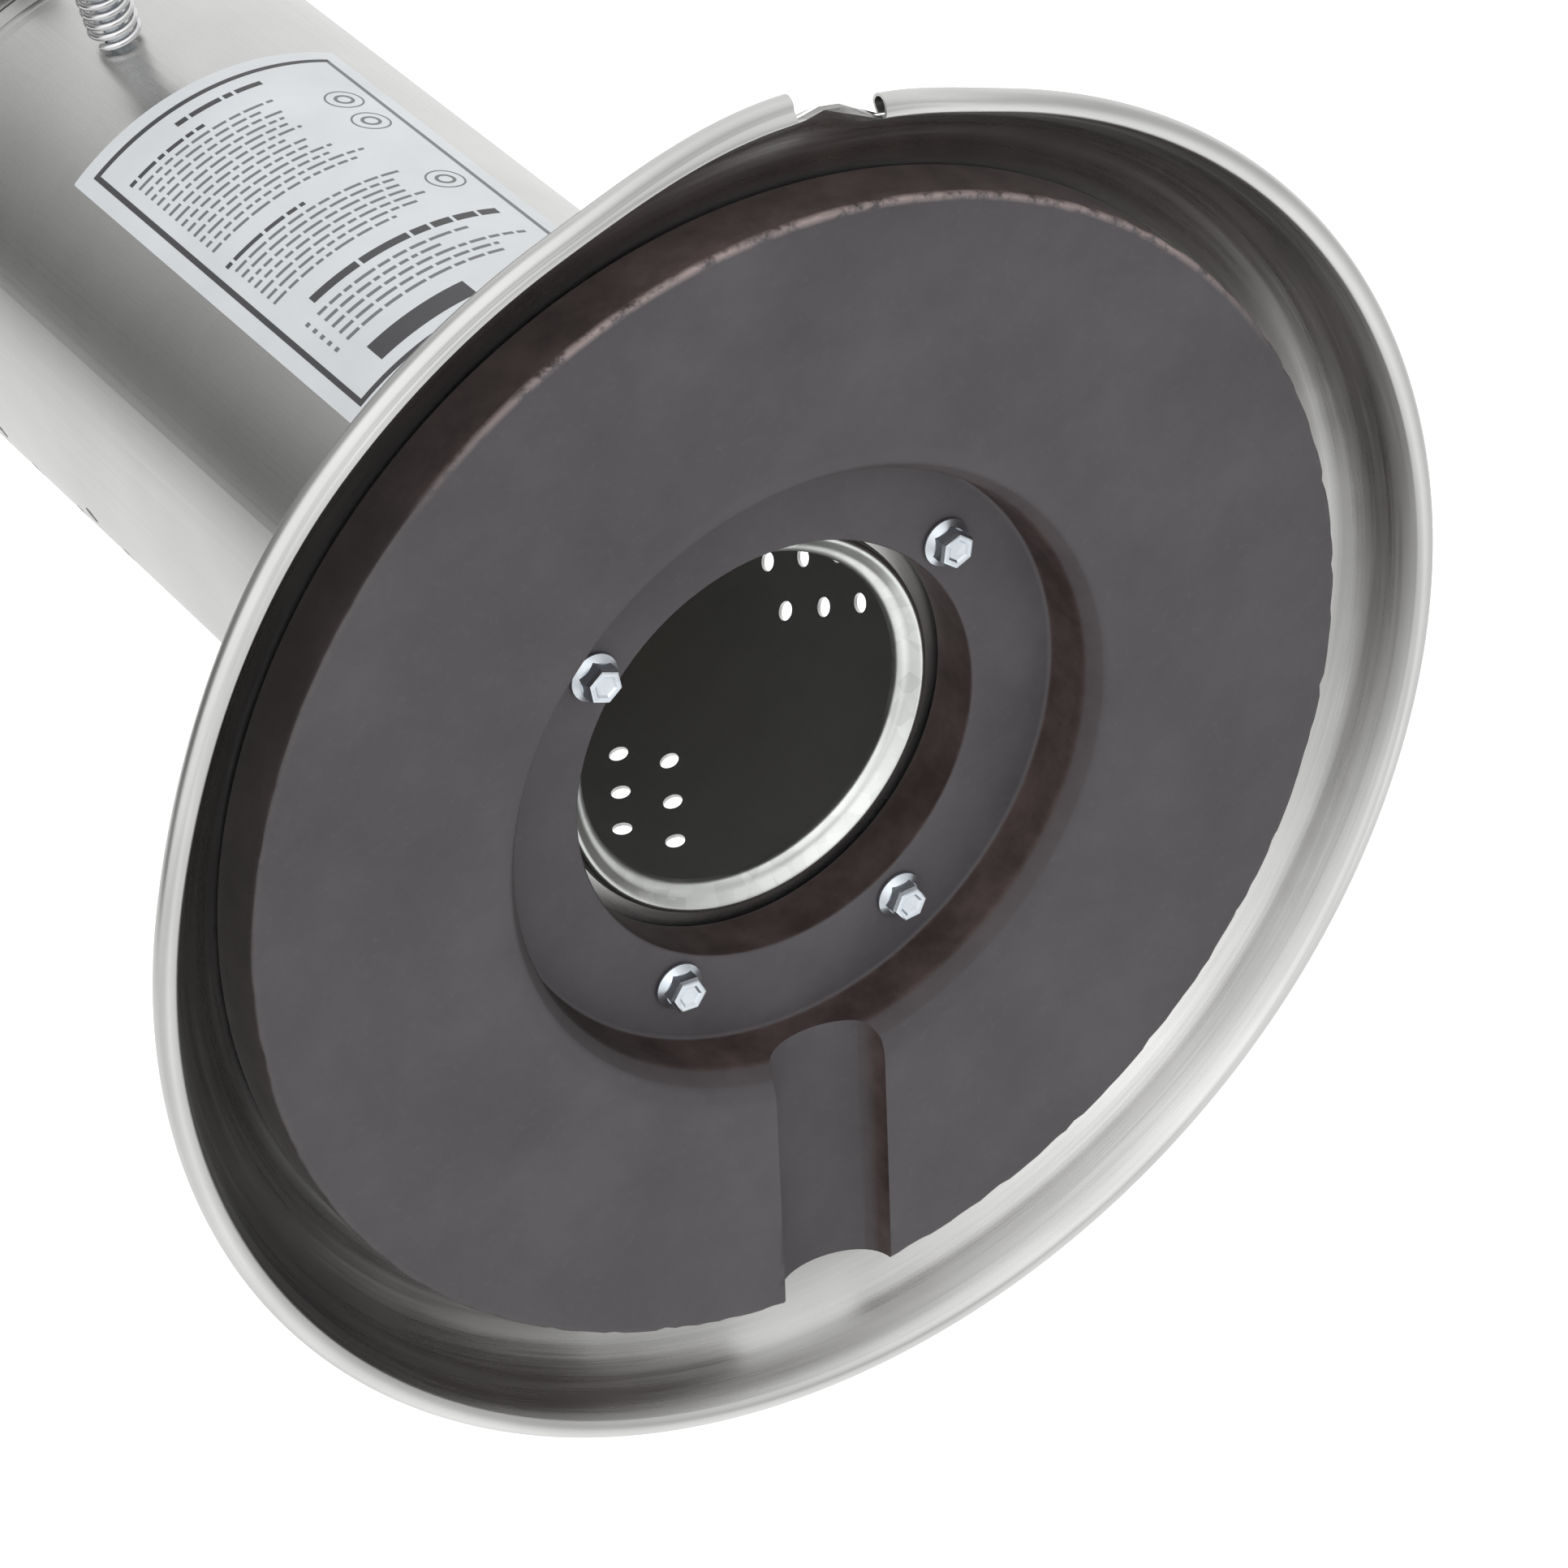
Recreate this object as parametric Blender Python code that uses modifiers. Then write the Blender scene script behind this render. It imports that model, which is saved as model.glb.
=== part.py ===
"""A table-top gas patio heater: spun steel base with a cast weight, a tubular lower housing with a
lift-off door plate, a gas control section, an emitter screen and a domed reflector on three posts.

Metres, +Z up, origin on the table under the middle of the heater. The front, with the door, is -Y.
"""

import math

import bmesh
import bpy
from mathutils import Matrix, Vector

MM = 0.001
GAP = 0.3 * MM  # air between pieces that rest against each other
FRONT = math.radians(270.0)

# Base: a spun dish with a rolled rim
RIM_R = 165.0 * MM
BEAD_R = 2.6 * MM
SHELL_T = 0.8 * MM
SHELL_TOP_Z = 38.6 * MM
SHELL_HOLE_R = 48.1 * MM
NOTCH_CENTRE = math.radians(287.4)
NOTCH_WIDTH = 16.8 * MM
RIM_LIFT = 12.5 * MM  # the rim is bent up beside the notch, most on its left
LIFT_START_R = 148.0 * MM

# Cast weight
WEIGHT_R = 140.3 * MM
WEIGHT_Z = 6.4 * MM
WEIGHT_BACK_Z = 22.3 * MM
RECESS_R = 72.8 * MM
RECESS_EDGE_R = 76.9 * MM
RECESS_Z = 23.0 * MM
BOSS_R = 80.3 * MM
BOSS_Z = 37.4 * MM
WEIGHT_HOLE_R = 51.4 * MM
CHANNEL_ANGLE = math.radians(103.0)
CHANNEL_R = 14.6 * MM
CHANNEL_DEPTH = 11.0 * MM

# Flange bolts (M5)
BOLT_CIRCLE_R = 59.1 * MM
BOLT_ANGLES = (132.5, 232.5, 332.5, 72.5)  # degrees
BOLT_SHANK_R = 2.4 * MM
BOLT_FLATS = 8.0 * MM
BOLT_FLANGE_R = 5.8 * MM
BOLT_HEAD_H = 5.4 * MM

# Lower housing
TUBE_R = 67.0 * MM
TUBE_T = 0.9 * MM
HOUSING_BOTTOM_Z = 40.4 * MM
HOUSING_TOP_Z = 330.0 * MM
FLANGE_Z = 39.6 * MM
FLANGE_T = 0.8 * MM
DOOR_HALF_ANGLE = math.radians(57.0)
DOOR_BOTTOM_Z = 78.0 * MM
DOOR_TOP_Z = 325.0 * MM
OPENING_HALF_ANGLE = math.radians(51.0)
OPENING_BOTTOM_Z = 77.0 * MM
OPENING_TOP_Z = 314.0 * MM
VENT_R = 2.4 * MM
VENT_STEP = math.radians(6.2)
VENT_ROW = 12.4 * MM
VENT_GROUPS = (  # azimuth in degrees, height
    (29.6, 113.0 * MM), (94.5, 113.0 * MM), (159.4, 113.0 * MM),
    (23.0, 242.0 * MM), (23.0, 291.6 * MM), (157.0, 242.0 * MM), (157.0, 291.6 * MM),
)

# Door plate and its handle
DOOR_T = 0.9 * MM
DOOR_R = TUBE_R + 0.5 * MM
LABEL_HALF_ANGLE = math.radians(32.2)
LABEL_CENTRE = math.radians(272.7)
LABEL_Z = (123.0 * MM, 263.0 * MM)
LABEL_T = 0.4 * MM
HANDLE_Z = 297.0 * MM
COIL_R = 5.8 * MM
COIL_WIRE_R = 1.0 * MM
COIL_PITCH = 3.0 * MM
COIL_TURNS = 8
HANDLE_KNOB_R = 15.0 * MM
HANDLE_KNOB_L = 16.0 * MM
HOOK_X = 22.0 * MM

# Control section
CONTROL_BOTTOM_Z = 334.0 * MM
CONTROL_TOP_Z = 420.0 * MM
CONTROL_R = 64.6 * MM
CONTROL_Z = 372.0 * MM
KNOB_R = 21.0 * MM
IGNITER_X = -42.0 * MM
IGNITER_Z = 372.0 * MM
IGNITER_R = 8.8 * MM

# Burner and emitter
BOWL_R = 86.0 * MM
BOWL_TOP_Z = 452.0 * MM
EMITTER_R = 76.0 * MM
EMITTER_TOP_Z = 640.0 * MM

# Reflector
POST_CIRCLE_R = 50.0 * MM
POST_ANGLES = (90.0, 210.0, 330.0)
POST_R = 4.5 * MM
REFLECTOR_R = 265.0 * MM
REFLECTOR_RIM_Z = 745.0 * MM
REFLECTOR_TOP_Z = 812.0 * MM
REFLECTOR_FLAT_R = 70.0 * MM
REFLECTOR_T = 1.0 * MM


# ---------------------------------------------------------------- scene and materials

for old in list(bpy.data.objects):
    bpy.data.objects.remove(old, do_unlink=True)

parts = bpy.data.collections.new("patio_heater")
tools = bpy.data.collections.new("cutters")
bpy.context.scene.collection.children.link(parts)
bpy.context.scene.collection.children.link(tools)


def material(name, colour, roughness, metallic):
    made = bpy.data.materials.new(name)
    made.use_nodes = True
    shader = made.node_tree.nodes["Principled BSDF"]
    shader.inputs["Base Color"].default_value = (*colour, 1.0)
    shader.inputs["Roughness"].default_value = roughness
    shader.inputs["Metallic"].default_value = metallic
    return made


STAINLESS = material("stainless", (0.62, 0.62, 0.61), 0.28, 1.0)
CAST = material("cast_iron", (0.08, 0.075, 0.078), 0.75, 0.0)
ZINC = material("zinc", (0.75, 0.77, 0.8), 0.3, 1.0)
CHROME = material("chrome", (0.85, 0.85, 0.86), 0.08, 1.0)
BRASS = material("brass", (0.78, 0.6, 0.3), 0.3, 1.0)
BLACK = material("black_plastic", (0.02, 0.02, 0.02), 0.4, 0.0)
LABEL = material("label_white", (0.86, 0.87, 0.88), 0.45, 0.0)
CERAMIC = material("ceramic", (0.85, 0.83, 0.78), 0.4, 0.0)


# ---------------------------------------------------------------- modelling helpers

def link(obj, look, smooth=30.0):
    parts.objects.link(obj)
    obj.data.materials.append(look)
    if obj.type == "MESH" and smooth:
        obj.data.shade_smooth()
        obj.data.set_sharp_from_angle(angle=math.radians(smooth))
    return obj


def mesh_object(name, build):
    """A mesh object whose geometry the build function adds to a bmesh."""
    data = bpy.data.meshes.new(name)
    bm = bmesh.new()
    build(bm)
    bm.to_mesh(data)
    bm.free()
    return bpy.data.objects.new(name, data)


def clockwise(profile):
    """The (radius, height) outline ordered so that its outer side runs from top to bottom."""
    area = sum(
        a[0] * b[1] - b[0] * a[1]
        for a, b in zip(profile, profile[1:] + profile[:1])
    )
    return profile if area < 0 else profile[::-1]


def screw(obj, steps, angle=math.tau):
    turn = obj.modifiers.new("Turn", "SCREW")
    turn.angle = angle
    turn.steps = turn.render_steps = steps
    turn.use_merge_vertices = True
    turn.merge_threshold = 0.00005
    turn.use_smooth_shade = True
    return turn


def outline(profile, closed):
    def build(bm):
        verts = [bm.verts.new((r, 0.0, z)) for r, z in profile]
        for a, b in zip(verts, verts[1:]):
            bm.edges.new((a, b))
        if closed:
            bm.edges.new((verts[-1], verts[0]))
    return build


def turned(name, profile, look, steps=40, at=(0.0, 0.0, 0.0), tilt=None):
    """A solid of revolution about Z (or about the tilted axis) from an outline of (radius, height)."""
    ordered = clockwise(profile)
    on_axis = [i for i, p in enumerate(ordered) if p[0] == 0.0]
    if on_axis:
        while not (ordered[0][0] == 0.0 and ordered[-1][0] == 0.0):
            ordered = ordered[1:] + ordered[:1]
    obj = mesh_object(name, outline(ordered, not on_axis))
    screw(obj, steps)
    obj.location = at
    if tilt is not None:
        obj.rotation_euler = tilt
    return link(obj, look)


def bent_sheet(name, radius, thickness, half_angle, centre, low, high, look, columns=24):
    """A rectangle of sheet wrapped on a cylinder."""
    def build(bm):
        bmesh.ops.create_grid(bm, x_segments=columns, y_segments=1, size=1.0)
        middle = (low + high) / 2
        for v in bm.verts:
            v.co = polar(radius, centre + v.co.x * half_angle, middle + v.co.y * (high - low) / 2)
    obj = mesh_object(name, build)
    wall = obj.modifiers.new("Wall", "SOLIDIFY")
    wall.thickness = thickness
    wall.offset = 1.0
    wall.use_even_offset = True
    return link(obj, look)


def block(name, size, at, look, bevel=0.0, turn=(0.0, 0.0, 0.0)):
    def build(bm):
        bmesh.ops.create_cube(bm, size=1.0)
        bmesh.ops.scale(bm, vec=Vector(size), verts=bm.verts)
    obj = mesh_object(name, build)
    obj.location = at
    obj.rotation_euler = turn
    if bevel:
        edge = obj.modifiers.new("Edge", "BEVEL")
        edge.width = bevel
        edge.segments = 2
    return link(obj, look)


def cutter(name, build, at=(0.0, 0.0, 0.0), turn=(0.0, 0.0, 0.0)):
    obj = mesh_object(name, build)
    obj.location = at
    obj.rotation_euler = turn
    obj.hide_render = True
    obj.display_type = "WIRE"
    tools.objects.link(obj)
    return obj


def cut(obj, tool, operation="DIFFERENCE"):
    change = obj.modifiers.new(tool.name, "BOOLEAN")
    change.operation = operation
    change.object = tool
    return change


def rod(radius, length, sides=16, middle=Vector((0, 0, 0)), turn=Matrix.Identity(4)):
    """Adds a cylinder along the turned Z axis, centred on middle."""
    def build(bm):
        bmesh.ops.create_cone(
            bm, cap_ends=True, segments=sides, radius1=radius, radius2=radius, depth=length,
            matrix=Matrix.Translation(middle) @ turn,
        )
    return build


def polar(radius, angle, z=0.0):
    return Vector((radius * math.cos(angle), radius * math.sin(angle), z))


def arc(centre, radius, first, last, count):
    """Points of an arc in the (radius, height) plane, angles in degrees."""
    points = []
    for i in range(count + 1):
        a = math.radians(first + (last - first) * i / count)
        points.append((centre[0] + radius * math.cos(a), centre[1] + radius * math.sin(a)))
    return points


def baked(obj):
    """The object with its modifiers applied, so that its points can be moved."""
    bpy.context.view_layer.update()
    shape = obj.evaluated_get(bpy.context.evaluated_depsgraph_get())
    made = bpy.data.meshes.new_from_object(shape)
    obj.modifiers.clear()
    obj.data = made
    return obj


TOWARDS_FRONT = (math.radians(90.0), 0.0, 0.0)  # turns +Z to -Y


# ---------------------------------------------------------------- base

def eased(share):
    share = min(1.0, max(0.0, share))
    return share * share * (3.0 - 2.0 * share)


def rim_lift(angle):
    """How far the rim is bent up: in two stages up to the notch's left edge, then down across it."""
    angle = math.degrees(angle % math.tau)
    half = math.degrees(NOTCH_WIDTH / RIM_R / 2)
    left, right = math.degrees(NOTCH_CENTRE) - half, math.degrees(NOTCH_CENTRE) + half
    rise = 0.48 * eased((angle - 205.0) / 35.0) + 0.52 * eased((angle - left + 22.0) / 22.0)
    fall = 0.7 * eased((right - angle) / (right - left)) + 0.3 * eased((301.0 - angle) / (301.0 - right))
    return RIM_LIFT * rise * fall


def base_shell():
    half = SHELL_T / 2
    flat = 20.0  # degrees either side of the bead's lowest point that are flat on the table
    bead_x, bead_z = RIM_R - BEAD_R, BEAD_R * math.cos(math.radians(flat))
    top = [
        (SHELL_HOLE_R, SHELL_TOP_Z), (82.0 * MM, SHELL_TOP_Z), (88.0 * MM, 36.0 * MM),
        (104.0 * MM, 28.4 * MM), (126.0 * MM, 24.6 * MM), (141.5 * MM, 23.0 * MM),
        (146.2 * MM, 20.7 * MM), (150.4 * MM, 17.4 * MM), (154.6 * MM, 12.8 * MM),
        (157.6 * MM, 8.2 * MM),
    ]
    outer = [(r + half * 0.6, z + half) for r, z in top] + [(159.7 * MM, 5.6 * MM)]
    bead = arc((bead_x, bead_z), BEAD_R, 130.0, -90.0 + flat, 5)
    bead += arc((bead_x, bead_z), BEAD_R, -90.0 - flat, -150.0, 1)
    inner = [(158.6 * MM, 4.6 * MM)] + [(r - half * 0.6, z - half) for r, z in reversed(top)]
    obj = baked(turned("base_shell", outer + bead + inner, STAINLESS, steps=44))
    for vertex in obj.data.vertices:
        r = math.hypot(vertex.co.x, vertex.co.y)
        share = max(0.0, (r - LIFT_START_R) / (bead_x - LIFT_START_R))
        vertex.co.z += rim_lift(math.atan2(vertex.co.y, vertex.co.x)) * min(1.0, share) ** 1.5

    def notch_block(bm):
        bmesh.ops.create_cube(bm, size=1.0)
        bmesh.ops.scale(bm, vec=(12.0 * MM, NOTCH_WIDTH, 40.0 * MM), verts=bm.verts)
    tool = cutter("rim_notch", notch_block, polar(165.4 * MM, NOTCH_CENTRE), (0, 0, NOTCH_CENTRE))
    cut(obj, tool)
    return obj


def base_weight():
    chamfer = 1.2 * MM
    profile = [
        (WEIGHT_HOLE_R, BOSS_Z), (BOSS_R - 3.0 * MM, BOSS_Z), (BOSS_R, BOSS_Z - 3.0 * MM),
        (BOSS_R + 1.0 * MM, WEIGHT_BACK_Z), (WEIGHT_R, WEIGHT_BACK_Z),
        (WEIGHT_R, WEIGHT_Z + chamfer), (WEIGHT_R - chamfer, WEIGHT_Z),
        (RECESS_EDGE_R + 3.0 * MM, WEIGHT_Z), (RECESS_EDGE_R, WEIGHT_Z + 1.2 * MM),
        (RECESS_EDGE_R - 2.4 * MM, WEIGHT_Z + 4.6 * MM), (RECESS_R, RECESS_Z - 0.4 * MM),
        (RECESS_R - 0.4 * MM, RECESS_Z), (WEIGHT_HOLE_R, RECESS_Z),
    ]
    obj = turned("base_weight", profile, CAST, steps=48)

    def channel(bm):
        lie = Matrix.Rotation(math.radians(90.0), 4, "Y")
        rod(1.0, 1.0, 24, turn=lie)(bm)
        length = WEIGHT_R - RECESS_R + 16.0 * MM
        bmesh.ops.scale(bm, vec=(length, CHANNEL_R, CHANNEL_DEPTH), verts=bm.verts)
    middle = polar((WEIGHT_R + RECESS_R) / 2 + 3.0 * MM, CHANNEL_ANGLE, WEIGHT_Z)
    cut(obj, cutter("hose_channel", channel, middle, (0, 0, CHANNEL_ANGLE)))
    return obj


def bolt_places():
    return [polar(BOLT_CIRCLE_R, math.radians(a)) for a in BOLT_ANGLES]


def bolt_hole_cutter(name, radius, low, high):
    def build(bm):
        for place in bolt_places():
            rod(radius, high - low, 12, middle=place + Vector((0, 0, (low + high) / 2)))(bm)
    return cutter(name, build)


def base_bolt(number, place):
    """A hex flange bolt, head down."""
    seat = RECESS_Z - GAP
    head = seat - BOLT_HEAD_H
    flange = [
        (0.0, FLANGE_Z + FLANGE_T + 6.0 * MM), (BOLT_SHANK_R, FLANGE_Z + FLANGE_T + 6.0 * MM),
        (BOLT_SHANK_R, seat), (BOLT_FLANGE_R, seat), (BOLT_FLANGE_R, seat - 1.0 * MM),
        (BOLT_FLATS / 2, seat - 2.0 * MM), (0.0, seat - 2.0 * MM),
    ]
    obj = turned(f"base_bolt_{number}", flange, ZINC, steps=12, at=(place.x, place.y, 0.0))
    corner = BOLT_FLATS / math.sqrt(3.0)
    hexagon = cutter(
        f"bolt_hex_{number}",
        rod(corner, BOLT_HEAD_H - 1.2 * MM, 6, Vector((0, 0, head + (BOLT_HEAD_H - 1.2 * MM) / 2))),
        (place.x, place.y, 0.0), (0, 0, math.radians(17.0 * number)),
    )
    cut(obj, hexagon, "UNION")
    return obj


def base_nut(number, place):
    low = FLANGE_Z + FLANGE_T + GAP
    obj = mesh_object(f"base_nut_{number}", rod(8.0 * MM / math.sqrt(3.0), 4.0 * MM, 6))
    obj.location = (place.x, place.y, low + 2.0 * MM)
    cut(obj, cutter(f"nut_bore_{number}", rod(BOLT_SHANK_R + GAP, 10.0 * MM, 10), obj.location))
    return link(obj, ZINC)


def housing_bottom_ring():
    """A flat flange with a stepped bead round its hole and a lip that turns inward and up."""
    t = 0.9 * MM
    line = [
        (TUBE_R - TUBE_T - 0.6 * MM, FLANGE_Z + FLANGE_T), (TUBE_R - TUBE_T - 0.6 * MM, FLANGE_Z),
        (47.5 * MM, FLANGE_Z), (47.2 * MM, 36.0 * MM), (46.4 * MM, 35.2 * MM), (45.7 * MM, 35.6 * MM),
        (44.8 * MM, 37.2 * MM), (44.4 * MM, 37.4 * MM), (42.9 * MM, 38.2 * MM),
        (41.8 * MM, 39.0 * MM), (41.3 * MM, 39.9 * MM), (41.7 * MM, 40.5 * MM),
        (43.1 * MM, FLANGE_Z + FLANGE_T), (44.9 * MM, 39.0 * MM), (46.1 * MM, 39.0 * MM + t),
    ]
    return turned("housing_bottom_ring", line, ZINC, steps=32)


# ---------------------------------------------------------------- lower housing and door

def wedge(half_angle, centre, reach, low, high):
    """A pie-shaped block for cutting an opening in a tube."""
    def build(bm):
        steps = 5
        around = [Vector((0.0, 0.0, 0.0))] + [
            polar(reach, centre - half_angle + 2 * half_angle * i / steps) for i in range(steps + 1)
        ]
        bottom = bm.faces.new([bm.verts.new((p.x, p.y, low)) for p in around])
        lifted = bmesh.ops.extrude_face_region(bm, geom=[bottom])
        bmesh.ops.translate(
            bm, vec=(0, 0, high - low),
            verts=[g for g in lifted["geom"] if isinstance(g, bmesh.types.BMVert)],
        )
        bmesh.ops.recalc_face_normals(bm, faces=bm.faces)
    return build


def vent_places():
    """Each group is a three by three square of holes standing on its corner; stacked ones share a hole."""
    places = set()
    for azimuth, height in VENT_GROUPS:
        for i in range(3):
            for j in range(3):
                angle = math.radians(azimuth) + (i - j) * VENT_STEP
                places.add((round(angle, 4), round(height + (i + j - 2) * VENT_ROW, 5)))
    return sorted(places)


def lower_housing():
    inner = TUBE_R - TUBE_T
    profile = [
        (TUBE_R, HOUSING_TOP_Z), (TUBE_R, HOUSING_BOTTOM_Z),
        (inner, HOUSING_BOTTOM_Z), (inner, HOUSING_TOP_Z),
    ]
    obj = turned("lower_housing", profile, STAINLESS, steps=60)
    cut(obj, cutter("door_opening", wedge(
        OPENING_HALF_ANGLE, FRONT, 2 * TUBE_R, OPENING_BOTTOM_Z, OPENING_TOP_Z)))

    def holes(bm):
        for angle, z in vent_places():
            aim = Matrix.Rotation(angle, 4, "Z") @ Matrix.Rotation(math.radians(90.0), 4, "Y")
            rod(VENT_R, 8.0 * MM, 6, polar(TUBE_R - TUBE_T / 2, angle, z), aim)(bm)
    cut(obj, cutter("vent_holes", holes))
    return obj


def handle_axis_hole(name, radius):
    return cutter(name, rod(radius, 16.0 * MM, 16), (0.0, -DOOR_R, HANDLE_Z), TOWARDS_FRONT)


def door_plate():
    obj = bent_sheet(
        "door_plate", DOOR_R, DOOR_T, DOOR_HALF_ANGLE, FRONT, DOOR_BOTTOM_Z, DOOR_TOP_Z,
        STAINLESS, columns=22,
    )
    cut(obj, handle_axis_hole("spindle_hole", 3.4 * MM))
    return obj


def instruction_plate():
    return bent_sheet(
        "instruction_plate", DOOR_R + DOOR_T + GAP, LABEL_T, LABEL_HALF_ANGLE, LABEL_CENTRE,
        LABEL_Z[0], LABEL_Z[1], LABEL, columns=16,
    )


def door_hook(name, x):
    """A strip behind the door's foot that steps over the sill and turns down behind the wall."""
    wall = math.sqrt((TUBE_R - TUBE_T) ** 2 - x * x)
    front = math.sqrt(DOOR_R * DOOR_R - (x + 4.0 * MM * math.copysign(1.0, x)) ** 2) - 0.8 * MM
    inside = wall - 3.4 * MM
    sill = OPENING_BOTTOM_Z + 1.0 * MM
    side = [
        (front, sill), (front, sill + 22.0 * MM), (front - 1.4 * MM, sill + 22.0 * MM),
        (front - 1.4 * MM, sill + 1.4 * MM), (inside, sill + 1.4 * MM),
        (inside, sill - 8.0 * MM), (inside + 1.4 * MM, sill - 8.0 * MM), (inside + 1.4 * MM, sill),
    ]

    def build(bm):
        face = bm.faces.new([bm.verts.new((x - 4.0 * MM, -y, z)) for y, z in side])
        grown = bmesh.ops.extrude_face_region(bm, geom=[face])
        bmesh.ops.translate(
            bm, vec=(8.0 * MM, 0, 0),
            verts=[g for g in grown["geom"] if isinstance(g, bmesh.types.BMVert)],
        )
        bmesh.ops.recalc_face_normals(bm, faces=bm.faces)
    return link(mesh_object(name, build), ZINC)


def along_front(name, profile, look, x, z, steps=24):
    """A piece turned about an axis that runs forward (-Y) through (x, z); heights run forward."""
    return turned(name, profile, look, steps=steps, at=(x, 0.0, z), tilt=TOWARDS_FRONT)


def door_handle():
    face = DOOR_R + DOOR_T
    coil_start = face + 0.5 * MM + COIL_WIRE_R
    coil_length = COIL_TURNS * COIL_PITCH
    coil_end = coil_start + coil_length + COIL_WIRE_R + 0.5 * MM
    inside = DOOR_R - 9.0 * MM
    along_front("door_handle_spindle", [
        (0.0, inside), (3.0 * MM, inside), (3.0 * MM, coil_end + 8.0 * MM), (0.0, coil_end + 8.0 * MM),
    ], ZINC, 0.0, HANDLE_Z, 16)
    along_front("door_handle_knob", [
        (3.4 * MM, coil_end + 0.2 * MM), (9.5 * MM, coil_end + 0.2 * MM),
        (HANDLE_KNOB_R - 1.2 * MM, coil_end + 3.0 * MM), (HANDLE_KNOB_R, coil_end + 6.0 * MM),
        (HANDLE_KNOB_R - 0.8 * MM, coil_end + 11.0 * MM), (HANDLE_KNOB_R - 4.0 * MM, coil_end + 14.6 * MM),
        (6.0 * MM, coil_end + HANDLE_KNOB_L), (0.0, coil_end + HANDLE_KNOB_L + 0.4 * MM),
        (0.0, coil_end + 8.4 * MM), (3.4 * MM, coil_end + 8.4 * MM),
    ], BLACK, 0.0, HANDLE_Z, 20)

    points_per_turn = 8
    path = bpy.data.curves.new("door_handle_coil", "CURVE")
    path.dimensions = "3D"
    path.bevel_depth = COIL_WIRE_R
    path.bevel_resolution = 2
    path.use_fill_caps = True
    line = path.splines.new("POLY")
    count = COIL_TURNS * points_per_turn + 1
    line.points.add(count - 1)
    for i in range(count):
        a = math.tau * i / points_per_turn + math.radians(200.0)
        y = -(coil_start + coil_length * i / (count - 1))
        line.points[i].co = (COIL_R * math.cos(a), y, HANDLE_Z + COIL_R * math.sin(a), 1.0)
    link(bpy.data.objects.new("door_handle_coil", path), CHROME)

    tongue_y = -(DOOR_R - 6.6 * MM)
    tongue = block("door_latch_tongue", (29.0 * MM, 1.6 * MM, 9.0 * MM),
                   (11.0 * MM, tongue_y, HANDLE_Z), ZINC)
    cut(tongue, cutter("tongue_bore", rod(3.3 * MM, 10 * MM, 16), (0, tongue_y, HANDLE_Z), TOWARDS_FRONT))
    along_front("door_handle_washer", [
        (3.3 * MM, DOOR_R - 4.4 * MM), (6.0 * MM, DOOR_R - 4.4 * MM),
        (6.0 * MM, DOOR_R - 3.2 * MM), (3.3 * MM, DOOR_R - 3.2 * MM),
    ], ZINC, 0.0, HANDLE_Z, 16)


def housing_top_ring():
    """A stepped joint band between the lower housing and the control section."""
    low, high = HOUSING_TOP_Z + GAP, CONTROL_BOTTOM_Z - GAP
    return turned("housing_top_ring", [
        (TUBE_R + 0.6 * MM, low), (TUBE_R + 0.6 * MM, high), (58.0 * MM, high), (58.0 * MM, low),
    ], STAINLESS, steps=40)


# ---------------------------------------------------------------- control section

def control_housing():
    t = 1.0 * MM
    flare = [
        (CONTROL_R, CONTROL_BOTTOM_Z), (CONTROL_R, CONTROL_TOP_Z),
        (CONTROL_R - t, CONTROL_TOP_Z), (CONTROL_R - t, CONTROL_BOTTOM_Z),
    ]
    obj = turned("control_housing", flare, STAINLESS, steps=40)
    cut(obj, cutter("stem_hole", rod(6.0 * MM, 16 * MM, 16), (0, -CONTROL_R, CONTROL_Z), TOWARDS_FRONT))
    cut(obj, cutter("igniter_hole", rod(IGNITER_R + 0.5 * MM, 40 * MM, 20),
                    (IGNITER_X, -55.0 * MM, IGNITER_Z), TOWARDS_FRONT))
    return obj


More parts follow.
